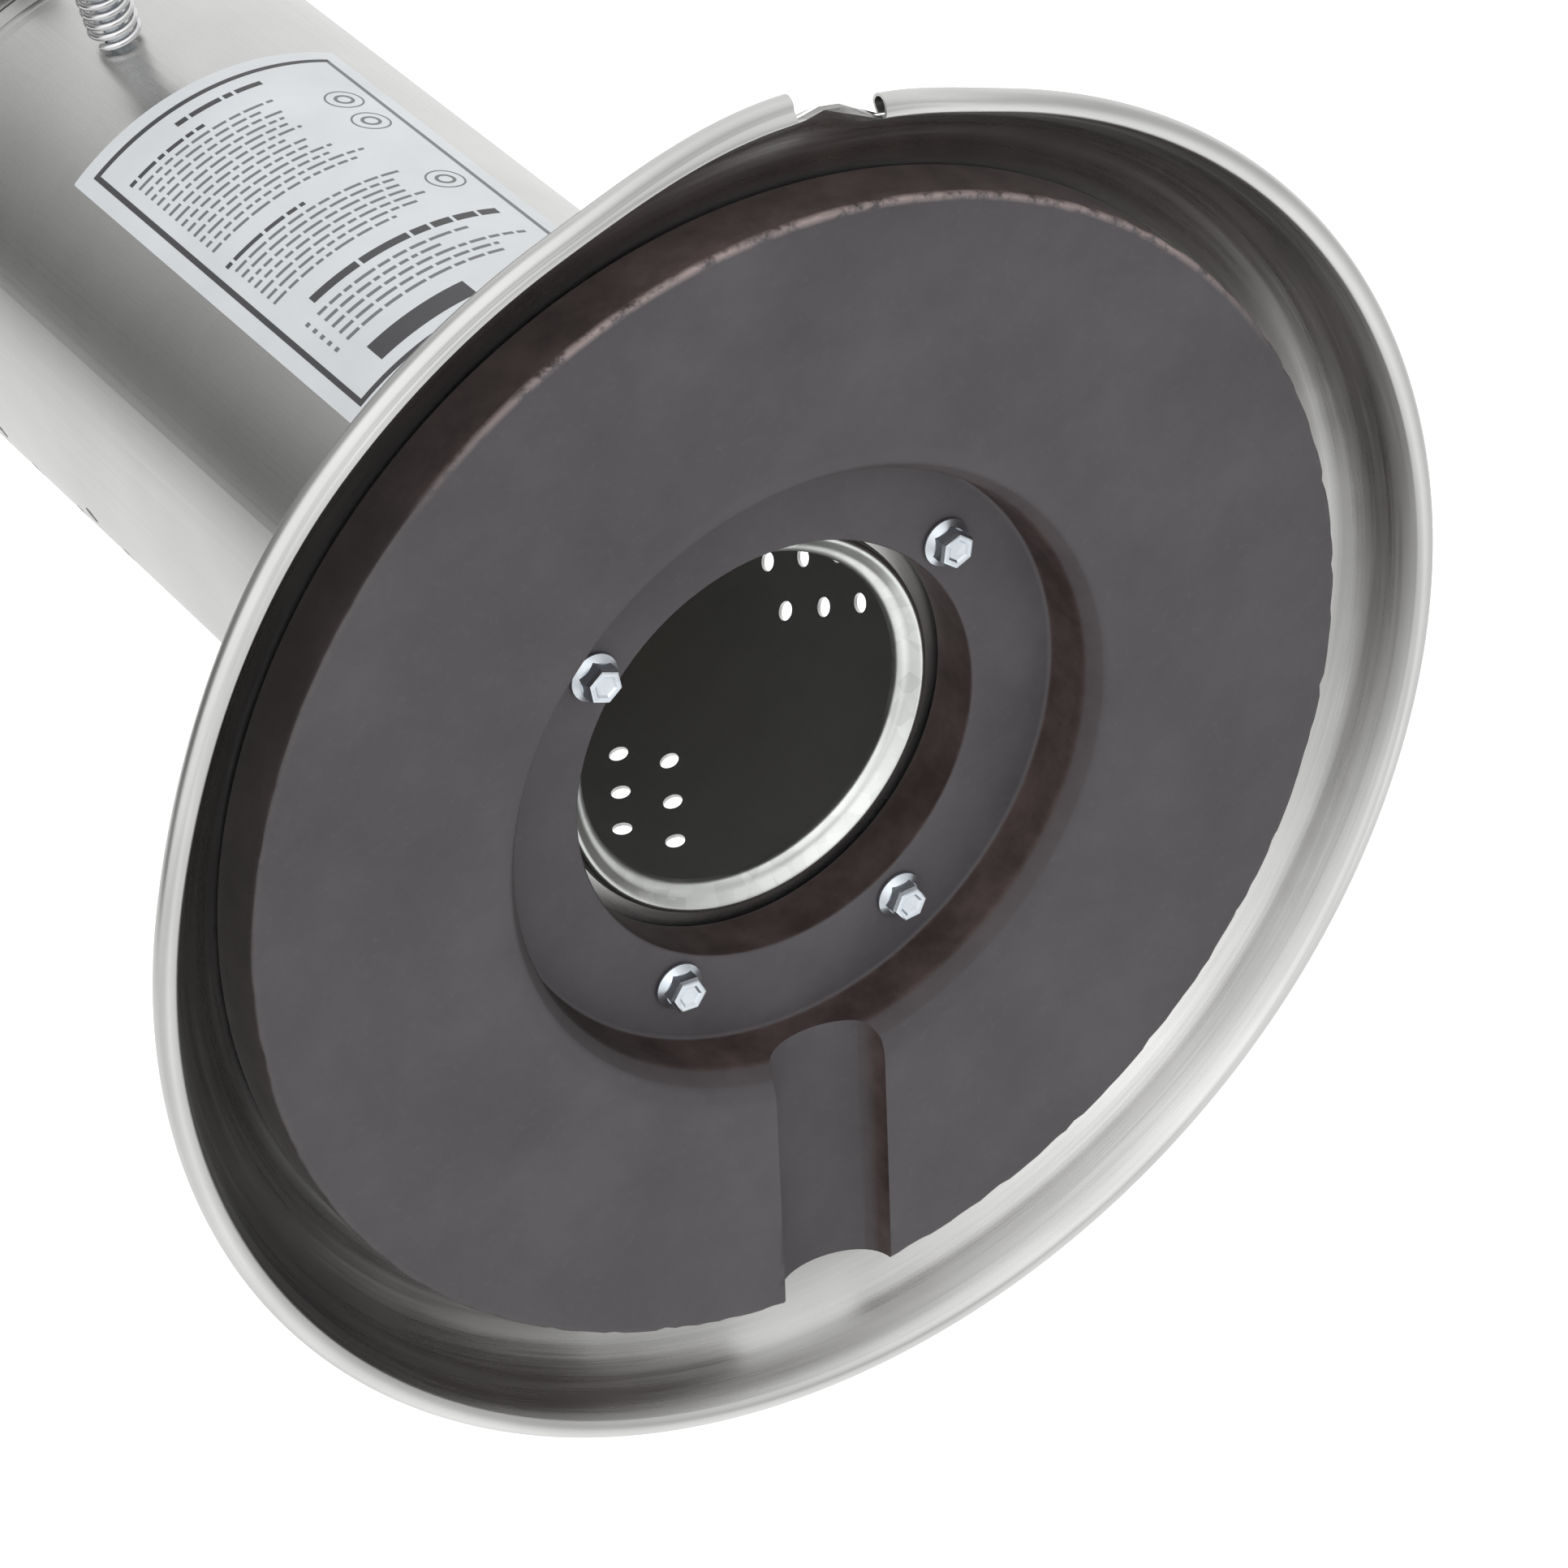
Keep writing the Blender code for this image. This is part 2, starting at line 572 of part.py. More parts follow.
def controls():
    face = CONTROL_R + 0.9 * MM
    bezel = bent_sheet(
        "control_bezel", CONTROL_R + GAP, 0.8 * MM, (KNOB_R + 7.0 * MM) / CONTROL_R, FRONT,
        CONTROL_Z - KNOB_R - 9.0 * MM, CONTROL_Z + KNOB_R + 9.0 * MM, STAINLESS, columns=12,
    )
    bore = rod(6.2 * MM, 40.0 * MM, 24)
    cut(bezel, cutter("bezel_bore", bore, (0, -CONTROL_R, CONTROL_Z), TOWARDS_FRONT))

    knob_back = face + 1.4 * MM + 3.6 * MM
    knob_front = knob_back + 19.0 * MM
    knob = along_front("control_knob", [
        (4.3 * MM, knob_back), (KNOB_R, knob_back), (KNOB_R, knob_back + 4.0 * MM),
        (KNOB_R - 3.0 * MM, knob_back + 6.0 * MM), (KNOB_R - 4.4 * MM, knob_front - 1.4 * MM),
        (KNOB_R - 6.0 * MM, knob_front), (0.0, knob_front), (0.0, knob_back + 13.0 * MM),
        (4.3 * MM, knob_back + 13.0 * MM),
    ], BLACK, 0.0, CONTROL_Z, 24)
    for side in (-1, 1):
        def flank(bm):
            bmesh.ops.create_cube(bm, size=1.0)
            bmesh.ops.scale(bm, vec=(14.0 * MM, 14.0 * MM, 2.2 * KNOB_R), verts=bm.verts)
        cut(knob, cutter(f"knob_grip_{side}", flank,
                         (side * 14.2 * MM, -(knob_front + 0.4 * MM), CONTROL_Z)))

    stem_back = 26.0 * MM
    along_front("valve_stem", [
        (0.0, stem_back), (4.0 * MM, stem_back), (4.0 * MM, knob_back + 9.0 * MM),
        (0.0, knob_back + 9.0 * MM),
    ], BRASS, 0.0, CONTROL_Z, 16)
    button_face = 57.0 * MM
    along_front("igniter_button", [
        (0.0, button_face - 4.0 * MM), (7.2 * MM, button_face - 4.0 * MM),
        (7.2 * MM, button_face + 8.6 * MM), (5.8 * MM, button_face + 10.0 * MM),
        (0.0, button_face + 10.4 * MM),
    ], BLACK, IGNITER_X, IGNITER_Z, 14)
    along_front("igniter_body", [
        (7.6 * MM, button_face + 4.4 * MM), (IGNITER_R, button_face + 4.4 * MM),
        (IGNITER_R, button_face - 30.0 * MM), (0.0, button_face - 30.0 * MM),
        (0.0, button_face - 10.0 * MM), (7.6 * MM, button_face - 10.0 * MM),
    ], BLACK, IGNITER_X, IGNITER_Z, 14)


# ---------------------------------------------------------------- gas train

def gas_train():
    valve_half = 12.0 * MM
    valve = block("gas_valve", (2 * valve_half, 34.0 * MM, 26.0 * MM), (0, -7.0 * MM, CONTROL_Z), BRASS,
                  1.5 * MM)
    cut(valve, cutter("valve_bore", rod(4.3 * MM, 16 * MM, 16), (0, -20.0 * MM, CONTROL_Z), TOWARDS_FRONT))
    block("valve_bracket", (110.0 * MM, 18.0 * MM, 1.6 * MM), (0, -7.0 * MM, CONTROL_Z + 14.2 * MM), ZINC)
    injector_low = CONTROL_Z + 15.4 * MM
    turned("injector", [
        (0.0, injector_low + 12.0 * MM), (3.5 * MM, injector_low + 12.0 * MM),
        (5.0 * MM, injector_low + 6.0 * MM), (6.5 * MM, injector_low + 6.0 * MM),
        (6.5 * MM, injector_low), (0.0, injector_low),
    ], BRASS, 6, at=(0, -7.0 * MM, 0))
    turned("burner_tube", [
        (13.0 * MM, 402.0 * MM), (15.0 * MM, 402.0 * MM), (11.0 * MM, 416.0 * MM),
        (11.0 * MM, 446.0 * MM), (9.6 * MM, 446.0 * MM), (9.6 * MM, 416.0 * MM),
    ], STAINLESS, 16, at=(0, -7.0 * MM, 0))
    pipe_top, pipe_low = CONTROL_Z - 13.3 * MM, 282.0 * MM
    turned("gas_pipe", [
        (3.0 * MM, pipe_top), (4.0 * MM, pipe_top), (4.0 * MM, pipe_low), (3.0 * MM, pipe_low),
    ], BRASS, 16, at=(0, -7.0 * MM, 0))
    turned("gas_inlet_fitting", [
        (2.0 * MM, pipe_low - GAP), (8.0 * MM, pipe_low - GAP), (8.0 * MM, pipe_low - 10.0 * MM),
        (6.4 * MM, pipe_low - 10.0 * MM), (6.4 * MM, pipe_low - 24.0 * MM), (2.0 * MM, pipe_low - 24 * MM),
    ], BRASS, 12, at=(0, -7.0 * MM, 0))
    block("tilt_switch", (16.0 * MM, 20.0 * MM, 24.0 * MM), (32.0 * MM, 14.0 * MM, CONTROL_Z - 8 * MM),
          BLACK, 1.5 * MM)


def burner():
    t = 1.0 * MM
    bowl_low = CONTROL_TOP_Z + GAP
    turned("burner_bowl", [
        (20.0 * MM, bowl_low + t), (CONTROL_R - 1.0 * MM, bowl_low + t), (CONTROL_R + 8 * MM, 432.0 * MM),
        (BOWL_R - t, BOWL_TOP_Z - 8.0 * MM), (BOWL_R - t, BOWL_TOP_Z), (BOWL_R, BOWL_TOP_Z),
        (BOWL_R, BOWL_TOP_Z - 8.5 * MM), (CONTROL_R + 9 * MM, 431.0 * MM), (CONTROL_R, bowl_low),
        (20.0 * MM, bowl_low),
    ], STAINLESS, 40)
    turned("burner_head", [
        (16.0 * MM, 446.6 * MM), (52.0 * MM, 446.6 * MM), (56.0 * MM, 450.0 * MM), (56.0 * MM, 462.0 * MM),
        (50.0 * MM, 468.0 * MM), (0.0, 470.0 * MM), (0.0, 466.0 * MM), (48.0 * MM, 464.0 * MM),
        (52.0 * MM, 460.0 * MM), (52.0 * MM, 452.0 * MM), (16.0 * MM, 449.0 * MM),
    ], STAINLESS, 24)
    turned("emitter_screen", [
        (EMITTER_R, BOWL_TOP_Z - 9.0 * MM), (EMITTER_R, EMITTER_TOP_Z),
        (EMITTER_R - t, EMITTER_TOP_Z), (EMITTER_R - t, BOWL_TOP_Z - 9.0 * MM),
    ], STAINLESS, 40)
    low = EMITTER_TOP_Z + GAP
    cap = turned("emitter_cap", [
        (0.0, low + 6.0 * MM), (62.0 * MM, low + 6.0 * MM), (EMITTER_R + 5.0 * MM, low + 1.2 * MM),
        (EMITTER_R + 6.0 * MM, low - 4.0 * MM), (EMITTER_R + 5.0 * MM, low - 4.0 * MM),
        (EMITTER_R + 4.0 * MM, low), (0.0, low),
    ], STAINLESS, 40)
    cut(cap, post_hole_cutter("cap_holes", POST_R - 1.6 * MM + GAP, low - 8 * MM, low + 14 * MM))
    turned("thermocouple", [
        (0.0, 494.0 * MM), (2.0 * MM, 492.0 * MM), (2.0 * MM, 434.0 * MM), (0.0, 434.0 * MM),
    ], BRASS, 12, at=(63.0 * MM, 0, 0))
    turned("spark_electrode", [
        (0.0, 496.0 * MM), (1.0 * MM, 496.0 * MM), (1.0 * MM, 470.0 * MM), (3.5 * MM, 468.0 * MM),
        (3.5 * MM, 434.0 * MM), (0.0, 434.0 * MM),
    ], CERAMIC, 12, at=(-63.0 * MM, 0, 0))


# ---------------------------------------------------------------- reflector

def post_places():
    return [polar(POST_CIRCLE_R, math.radians(a)) for a in POST_ANGLES]


def post_hole_cutter(name, radius, low, high):
    def build(bm):
        for place in post_places():
            rod(radius, high - low, 12, place + Vector((0, 0, (low + high) / 2)))(bm)
    return cutter(name, build)


def reflector_group():
    stud_r = POST_R - 1.6 * MM
    foot = EMITTER_TOP_Z + 6.0 * MM + 2 * GAP
    head = REFLECTOR_TOP_Z - REFLECTOR_T / 2 - 5.0 * MM - 2 * GAP
    stud_top = REFLECTOR_TOP_Z + 20.0 * MM
    for number, place in enumerate(post_places(), 1):
        at = (place.x, place.y, 0.0)
        turned(f"reflector_post_{number}", [
            (0.0, stud_top), (stud_r, stud_top), (stud_r, head), (POST_R, head), (POST_R, foot),
            (stud_r, foot), (stud_r, foot - 16.0 * MM), (0.0, foot - 16.0 * MM),
        ], STAINLESS, 10, at=at)
        low = head + GAP
        turned(f"post_spacer_{number}", [
            (stud_r + GAP, low), (9.0 * MM, low), (9.0 * MM, low + 4.6 * MM), (stud_r + GAP, low + 4.6 * MM),
        ], ZINC, 10, at=at)
        nut_low = REFLECTOR_TOP_Z + REFLECTOR_T / 2 + 2.4 * MM
        nut = turned(f"wing_nut_{number}", [
            (stud_r + GAP, nut_low), (6.0 * MM, nut_low), (4.6 * MM, nut_low + 9.0 * MM),
            (stud_r + GAP, nut_low + 9.0 * MM),
        ], ZINC, 10, at=at)
        for side in (-1, 1):
            def wing(bm):
                bmesh.ops.create_cone(bm, cap_ends=True, segments=8, radius1=6.0 * MM,
                                      radius2=6.0 * MM, depth=1.8 * MM)
            spin = math.radians(POST_ANGLES[number - 1] + 90.0)
            reach = Vector((side * 9.6 * MM, 0, 0))
            reach.rotate(Matrix.Rotation(spin, 3, "Z"))
            tool = cutter(f"wing_{number}_{side}", wing,
                          (place.x + reach.x, place.y + reach.y, nut_low + 9.0 * MM),
                          (math.radians(90.0), 0.0, spin))
            cut(nut, tool, "UNION")

    half = REFLECTOR_T / 2
    steps = 6
    line = [(14.0 * MM, REFLECTOR_TOP_Z), (REFLECTOR_FLAT_R, REFLECTOR_TOP_Z)]
    for i in range(1, steps + 1):
        share = i / steps
        r = REFLECTOR_FLAT_R + (REFLECTOR_R - 4.0 * MM - REFLECTOR_FLAT_R) * share
        line.append((r, REFLECTOR_TOP_Z - (REFLECTOR_TOP_Z - REFLECTOR_RIM_Z) * share ** 1.35))
    outer = [(r, z + half) for r, z in line] + [
        (REFLECTOR_R, REFLECTOR_RIM_Z - 1.0 * MM), (REFLECTOR_R, REFLECTOR_RIM_Z - 5.0 * MM),
    ]
    inner = [(REFLECTOR_R - REFLECTOR_T, REFLECTOR_RIM_Z - 5.0 * MM),
             (REFLECTOR_R - REFLECTOR_T, REFLECTOR_RIM_Z - 1.6 * MM)]
    inner += [(r, z - half) for r, z in reversed(line)]
    dome = turned("reflector", outer + inner, STAINLESS, steps=40)
    cut(dome, post_hole_cutter("reflector_holes", stud_r + GAP, REFLECTOR_TOP_Z - 9 * MM,
                               REFLECTOR_TOP_Z + 9 * MM))
    hub_low = REFLECTOR_TOP_Z + half + GAP
    hub = turned("reflector_hub", [
        (0.0, hub_low + 1.6 * MM), (60.0 * MM, hub_low + 1.6 * MM), (60.0 * MM, hub_low), (0.0, hub_low),
    ], STAINLESS, 32)
    cut(hub, post_hole_cutter("hub_holes", stud_r + GAP, hub_low - 4 * MM, hub_low + 6 * MM))


# ---------------------------------------------------------------- assembly

def main():
    shell = base_shell()
    weight = base_weight()
    ring = housing_bottom_ring()
    holes = bolt_hole_cutter("bolt_holes", BOLT_SHANK_R + GAP, RECESS_Z - 2 * MM, 50 * MM)
    for piece in (shell, weight, ring):
        cut(piece, holes)
    for number, place in enumerate(bolt_places(), 1):
        base_bolt(number, place)
        base_nut(number, place)
    lower_housing()
    door_plate()
    instruction_plate()
    door_hook("door_hook_left", -HOOK_X)
    door_hook("door_hook_right", HOOK_X)
    door_handle()
    housing_top_ring()
    control_housing()
    controls()
    gas_train()
    burner()
    reflector_group()


main()
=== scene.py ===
"""Looks of a table-top gas patio heater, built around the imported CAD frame.

Metres, +Z up, the table at z = 0, the door and the controls towards -Y. Outlines of turned pieces are
lists of (radius, height) in millimetres.
"""

import math
import random

import bmesh
import bpy
from mathutils import Matrix, Vector, noise


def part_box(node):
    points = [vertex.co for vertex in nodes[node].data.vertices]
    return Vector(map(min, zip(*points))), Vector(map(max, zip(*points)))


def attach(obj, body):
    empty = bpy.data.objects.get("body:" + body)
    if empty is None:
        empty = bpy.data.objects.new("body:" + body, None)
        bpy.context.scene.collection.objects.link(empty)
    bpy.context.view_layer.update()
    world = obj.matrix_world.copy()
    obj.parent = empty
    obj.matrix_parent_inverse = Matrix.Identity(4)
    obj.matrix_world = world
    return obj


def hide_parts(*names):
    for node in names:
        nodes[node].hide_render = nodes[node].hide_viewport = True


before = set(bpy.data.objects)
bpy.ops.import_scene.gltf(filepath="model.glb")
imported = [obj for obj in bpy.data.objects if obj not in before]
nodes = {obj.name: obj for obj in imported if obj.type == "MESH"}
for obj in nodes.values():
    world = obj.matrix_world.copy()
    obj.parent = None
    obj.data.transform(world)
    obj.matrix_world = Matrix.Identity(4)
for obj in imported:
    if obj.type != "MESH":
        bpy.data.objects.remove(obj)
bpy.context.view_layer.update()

MM = 0.001
FRONT = math.radians(270.0)
TOWARDS_FRONT = Matrix.Rotation(math.radians(90.0), 4, "X")  # turns +Z to -Y

RIM_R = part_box("base_shell")[1].x / MM
BEAD_R = 2.6
SHEET = 0.7
NOTCH_CENTRE = math.radians(287.4)
NOTCH_WIDTH = 16.8
NOTCH_INNER_R = 160.1
RIM_LIFT = 12.5
LIFT_START_R = 148.0
LIFT_START, LIFT_STEP, LIFT_END = 205.0, 35.0, 301.0  # degrees
NOTCH_RISE = 22.0  # degrees
FLARE = 3.0
FLARE_LOW_R, FLARE_HIGH_R = 150.0, 160.5
WEIGHT_R = 140.3
WEIGHT_Z = 6.4
WEIGHT_BACK_Z = 22.3
RECESS_Z = 23.0
HOLE_R = 51.4
BOLT_CIRCLE_R = 59.1
BOLT_ANGLES = (132.5, 232.5, 332.5, 72.5)  # degrees
BOLT_TURNS = (17.0, 34.0, 51.0, 8.0)  # degrees, how each head happens to stand
BOLT_HOLE_R = 2.7
CHANNEL_ANGLE = math.radians(103.0)
TUBE_R = 67.0
TUBE_T = 0.9
TUBE_LOW, TUBE_HIGH = 40.4, 330.0
OPENING_HALF_ANGLE = math.radians(51.0)
OPENING_LOW, OPENING_HIGH = 77.0, 314.0
DOOR_R = 67.5
DOOR_T = 0.9
DOOR_HALF_ANGLE = math.radians(57.0)
DOOR_LOW, DOOR_HIGH = 78.0, 325.0
LABEL_HALF_ANGLE = math.radians(32.2)
LABEL_CENTRE = math.radians(272.7)
LABEL_LOW, LABEL_HIGH = 123.0, 263.0
LABEL_T, PRINT_T = 0.4, 0.03
HANDLE_Z = 297.0
CONTROL_R = 64.6
CONTROL_Z = 372.0
VENT_STEP = math.radians(6.2)
VENT_ROW = 12.4
VENT_R = 2.4
VENT_GROUPS = (  # azimuth in degrees, height
    (29.6, 113.0), (94.5, 113.0), (159.4, 113.0),
    (23.0, 242.0), (23.0, 291.6), (157.0, 242.0), (157.0, 291.6),
)
REFLECTOR_R = 265.0
REFLECTOR_RIM_Z, REFLECTOR_TOP_Z, REFLECTOR_FLAT_R = 745.0, 812.0, 70.0
EMITTER_R, EMITTER_LOW, EMITTER_HIGH = 76.0, 443.0, 640.0
POST_CIRCLE_R = 50.0
POST_ANGLES = (90.0, 210.0, 330.0)  # degrees
POST_HOLE_R = 3.2

SCENE = bpy.context.scene


# ---------------------------------------------------------------- node trees

class Tree:
    """Short ways to add and join shader nodes."""

    def __init__(self, owner):
        owner.use_nodes = True
        self.nodes, self.links = owner.node_tree.nodes, owner.node_tree.links

    def add(self, kind, **sockets):
        made = self.nodes.new(kind)
        for name, value in sockets.items():
            self.put(made, name, value)
        return made

    def put(self, node, socket, value):
        target = node.inputs[int(socket)] if socket.isdigit() else node.inputs[socket]
        if isinstance(value, bpy.types.NodeSocket):
            self.links.new(value, target)
        else:
            target.default_value = value

    def math(self, operation, a, b=0.0, clamp=False):
        made = self.nodes.new("ShaderNodeMath")
        made.operation, made.use_clamp = operation, clamp
        self.put(made, "0", a)
        self.put(made, "1", b)
        return made.outputs[0]

    def ramp(self, value, *stops):
        """A colour ramp; each stop is (position, grey or colour)."""
        made = self.nodes.new("ShaderNodeValToRGB")
        self.links.new(value, made.inputs[0])
        for i, (place, colour) in enumerate(stops):
            stop = made.color_ramp.elements[i] if i < 2 else made.color_ramp.elements.new(place)
            stop.position = place
            grey = (colour,) * 3 if isinstance(colour, float) else colour
            stop.color = (*grey, 1.0)
        return made.outputs[0]

    def mix(self, share, a, b):
        made = self.nodes.new("ShaderNodeMix")
        made.data_type = "RGBA"
        self.put(made, "0", share)
        self.put(made, "6", a)
        self.put(made, "7", b)
        return made.outputs[2]

    def noise(self, vector, scale, detail=3.0, roughness=0.5, w=None):
        made = self.nodes.new("ShaderNodeTexNoise")
        if w is not None:
            made.noise_dimensions = "4D"
            self.put(made, "W", w)
        self.put(made, "Vector", vector)
        self.put(made, "Scale", scale)
        self.put(made, "Detail", detail)
        self.put(made, "Roughness", roughness)
        return made.outputs[0]

    def xyz(self, vector):
        made = self.nodes.new("ShaderNodeSeparateXYZ")
        self.links.new(vector, made.inputs[0])
        return made.outputs

    def vector(self, x, y, z):
        made = self.nodes.new("ShaderNodeCombineXYZ")
        for i, value in enumerate((x, y, z)):
            self.put(made, str(i), value)
        return made.outputs[0]

    def place(self):
        return self.nodes.new("ShaderNodeTexCoord").outputs["Object"]

    def around(self):
        """(unit x, unit y, radius, height) of the point on its axis of revolution."""
        x, y, z = self.xyz(self.place())
        radius = self.math("SQRT", self.math("ADD", self.math("MULTIPLY", x, x), self.math("MULTIPLY", y, y)))
        radius = self.math("MAXIMUM", radius, 0.0001)
        return self.math("DIVIDE", x, radius), self.math("DIVIDE", y, radius), radius, z


def material(name):
    made = bpy.data.materials.new(name)
    tree = Tree(made)
    return made, tree, tree.nodes["Principled BSDF"]


def rgb(r, g, b):
    return (r, g, b, 1.0)


def bump(tree, shader, height, strength, distance=0.0002):
    made = tree.add("ShaderNodeBump", Strength=strength, Distance=distance, Height=height)
    tree.put(shader, "Normal", made.outputs[0])


def brushed_steel(name, colour, rough, spread, grain, streak=900.0, relief=0.12, waves=0.0,
                  dull_inside=False):
    """Stainless sheet. The grain runs round the axis ("around") or along it ("along").

    waves adds broader bands to the grain; dull_inside takes some of the metal's shine off faces that
    look towards the axis.
    """
    made, tree, shader = material(name)
    if grain == "around":
        x, y, radius, z = tree.around()
        where = tree.vector(tree.math("MULTIPLY", x, 2.5), tree.math("MULTIPLY", y, 2.5),
                            tree.math("MULTIPLY", radius, streak))
        lines = tree.noise(where, 1.0, 5.0, 0.6, w=tree.math("MULTIPLY", z, streak))
        if waves:
            where = tree.vector(tree.math("MULTIPLY", x, 1.6), tree.math("MULTIPLY", y, 1.6),
                                tree.math("MULTIPLY", radius, 230.0))
            ripple = tree.noise(where, 1.0, 3.0, 0.55, w=tree.math("MULTIPLY", z, 230.0))
            ripple = tree.math("MULTIPLY", tree.math("SUBTRACT", ripple, 0.5), waves)
            lines = tree.math("ADD", lines, ripple)
    else:
        x, y, z = tree.xyz(tree.place())
        where = tree.vector(tree.math("MULTIPLY", x, streak), tree.math("MULTIPLY", y, streak),
                            tree.math("MULTIPLY", z, 7.0))
        lines = tree.noise(where, 1.0, 4.0, 0.6)
    clouds = tree.noise(tree.place(), 16.0, 4.0, 0.55)
    low, high = colour * 0.93, min(1.0, colour * 1.05)
    tone = tree.ramp(clouds, (0.35, (low, low, low * 0.985)), (0.65, (high, high, high * 0.985)))
    tree.put(shader, "Base Color", tree.mix(tree.ramp(lines, (0.3, 0.0), (0.75, 0.14)), tone,
                                            rgb(colour * 0.7, colour * 0.7, colour * 0.68)))
    if dull_inside:
        x, y = tree.around()[:2]
        normal = tree.xyz(tree.nodes.new("ShaderNodeNewGeometry").outputs["Normal"])
        outward = tree.math("ADD", tree.math("MULTIPLY", normal[0], x), tree.math("MULTIPLY", normal[1], y))
        facing_out = tree.math("ADD", tree.math("MULTIPLY", outward, 2.0), 1.2, clamp=True)
        tree.put(shader, "Metallic", tree.math("ADD", tree.math("MULTIPLY", facing_out, 0.14), 0.86))
    else:
        shader.inputs["Metallic"].default_value = 1.0
    gloss = tree.math("ADD", tree.math("MULTIPLY", lines, spread), rough - spread * 0.5)
    gloss = tree.math("ADD", gloss, tree.math("MULTIPLY", clouds, 0.06))
    tree.put(shader, "Roughness", gloss)
    bump(tree, shader, lines, relief, 0.00005)
    return made


def cast_iron(name):
    """Dark casting: mottled faces, browner side walls with painted shade darkening them on one side, a light
    worn edge.
    """
    made, tree, shader = material(name)
    where = tree.place()
    x, y, radius, z = tree.around()

    def towards(degrees):
        """How far the point lies towards an azimuth: 1 straight there, -1 straight away."""
        angle = math.radians(degrees)
        return tree.math("ADD", tree.math("MULTIPLY", x, math.cos(angle)),
                         tree.math("MULTIPLY", y, math.sin(angle)))

    large = tree.noise(where, 28.0, 6.0, 0.62)
    fine = tree.noise(where, 420.0, 4.0, 0.7)
    face = tree.ramp(large, (0.3, (0.058, 0.054, 0.058)), (0.5, (0.071, 0.066, 0.071)),
                     (0.72, (0.088, 0.083, 0.088)))
    face = tree.mix(tree.ramp(fine, (0.55, 0.0), (0.78, 0.3)), face, rgb(0.11, 0.105, 0.11))
    wall = tree.ramp(tree.noise(where, 75.0, 5.0, 0.65), (0.35, (0.034, 0.022, 0.021)),
                     (0.68, (0.075, 0.052, 0.05)))
    # painted shade: the side walls are darkened nearly to black towards azimuth 195 degrees, the side that
    # gets little light
    painted_shade_side = tree.ramp(towards(195.0), (0.25, 0.0), (0.8, 0.7))
    wall = tree.mix(painted_shade_side, wall, rgb(0.012, 0.010, 0.010))
    facing = tree.xyz(tree.nodes.new("ShaderNodeNewGeometry").outputs["Normal"])[2]
    upright = tree.math("SUBTRACT", 1.0, tree.math("ABSOLUTE", facing))
    steep = tree.ramp(upright, (0.25, 0.0), (0.6, 1.0))
    colour = tree.mix(steep, face, wall)

    away = tree.math("ADD", tree.math("ABSOLUTE", tree.math("SUBTRACT", radius, (WEIGHT_R - 0.7) * MM)),
                     tree.math("ABSOLUTE", tree.math("SUBTRACT", z, (WEIGHT_Z + 0.6) * MM)))
    edge = tree.math("SUBTRACT", 1.0, tree.math("DIVIDE", away, 0.0018), clamp=True)
    side = tree.ramp(towards(292.0), (0.62, 0.06), (0.85, 1.0))
    flakes = tree.ramp(tree.noise(where, 190.0, 5.0, 0.75), (0.36, 0.0), (0.52, 1.0))
    worn = tree.math("MULTIPLY", tree.math("MULTIPLY", edge, side), flakes)
    colour = tree.mix(worn, colour, rgb(0.36, 0.29, 0.28))
    tree.put(shader, "Base Color", colour)
    tree.put(shader, "Roughness", tree.math("ADD", tree.math("MULTIPLY", large, 0.3), 0.42))
    shader.inputs["Specular IOR Level"].default_value = 0.35
    relief = tree.math("ADD", tree.math("MULTIPLY", fine, 0.5), large)
    bump(tree, shader, relief, 0.35, 0.0004)
    return made


def zinc(name, colour, rough, spangle):
    """Plated or galvanised steel with a faint crystal pattern."""
    made, tree, shader = material(name)
    crystals = tree.nodes.new("ShaderNodeTexVoronoi")
    tree.put(crystals, "Vector", tree.place())
    tree.put(crystals, "Scale", 260.0)
    tone = tree.xyz(crystals.outputs["Color"])[0]
    dark = tuple(c * (1.0 - spangle) for c in colour)
    cloud = tree.noise(tree.place(), 60.0, 4.0, 0.6)
    tree.put(shader, "Base Color", tree.mix(tree.math("MULTIPLY", tone, cloud), rgb(*colour), rgb(*dark)))
    shader.inputs["Metallic"].default_value = 1.0
    tree.put(shader, "Roughness", tree.math("ADD", tree.math("MULTIPLY", cloud, 0.25), rough - 0.1))
    bump(tree, shader, cloud, 0.15, 0.0002)
    return made


def plain_metal(name, colour, rough, relief=0.05):
    made, tree, shader = material(name)
    cloud = tree.noise(tree.place(), 90.0, 4.0, 0.6)
    dark = tuple(c * 0.82 for c in colour)
    tree.put(shader, "Base Color", tree.mix(cloud, rgb(*colour), rgb(*dark)))
    shader.inputs["Metallic"].default_value = 1.0
    tree.put(shader, "Roughness", tree.math("ADD", tree.math("MULTIPLY", cloud, 0.12), rough - 0.06))
    bump(tree, shader, cloud, relief, 0.0002)
    return made


def moulded(name, colour, rough, grain=700.0, relief=0.1):
    """Moulded plastic, paint or ceramic with a fine surface grain."""
    made, tree, shader = material(name)
    cloud = tree.noise(tree.place(), 45.0, 4.0, 0.6)
    pores = tree.noise(tree.place(), grain, 3.0, 0.6)
    dark = tuple(c * 0.8 for c in colour)
    tree.put(shader, "Base Color", tree.mix(cloud, rgb(*colour), rgb(*dark)))
    tree.put(shader, "Roughness", tree.math("ADD", tree.math("MULTIPLY", cloud, 0.14), rough - 0.07))
    bump(tree, shader, pores, relief, 0.0002)
    return made


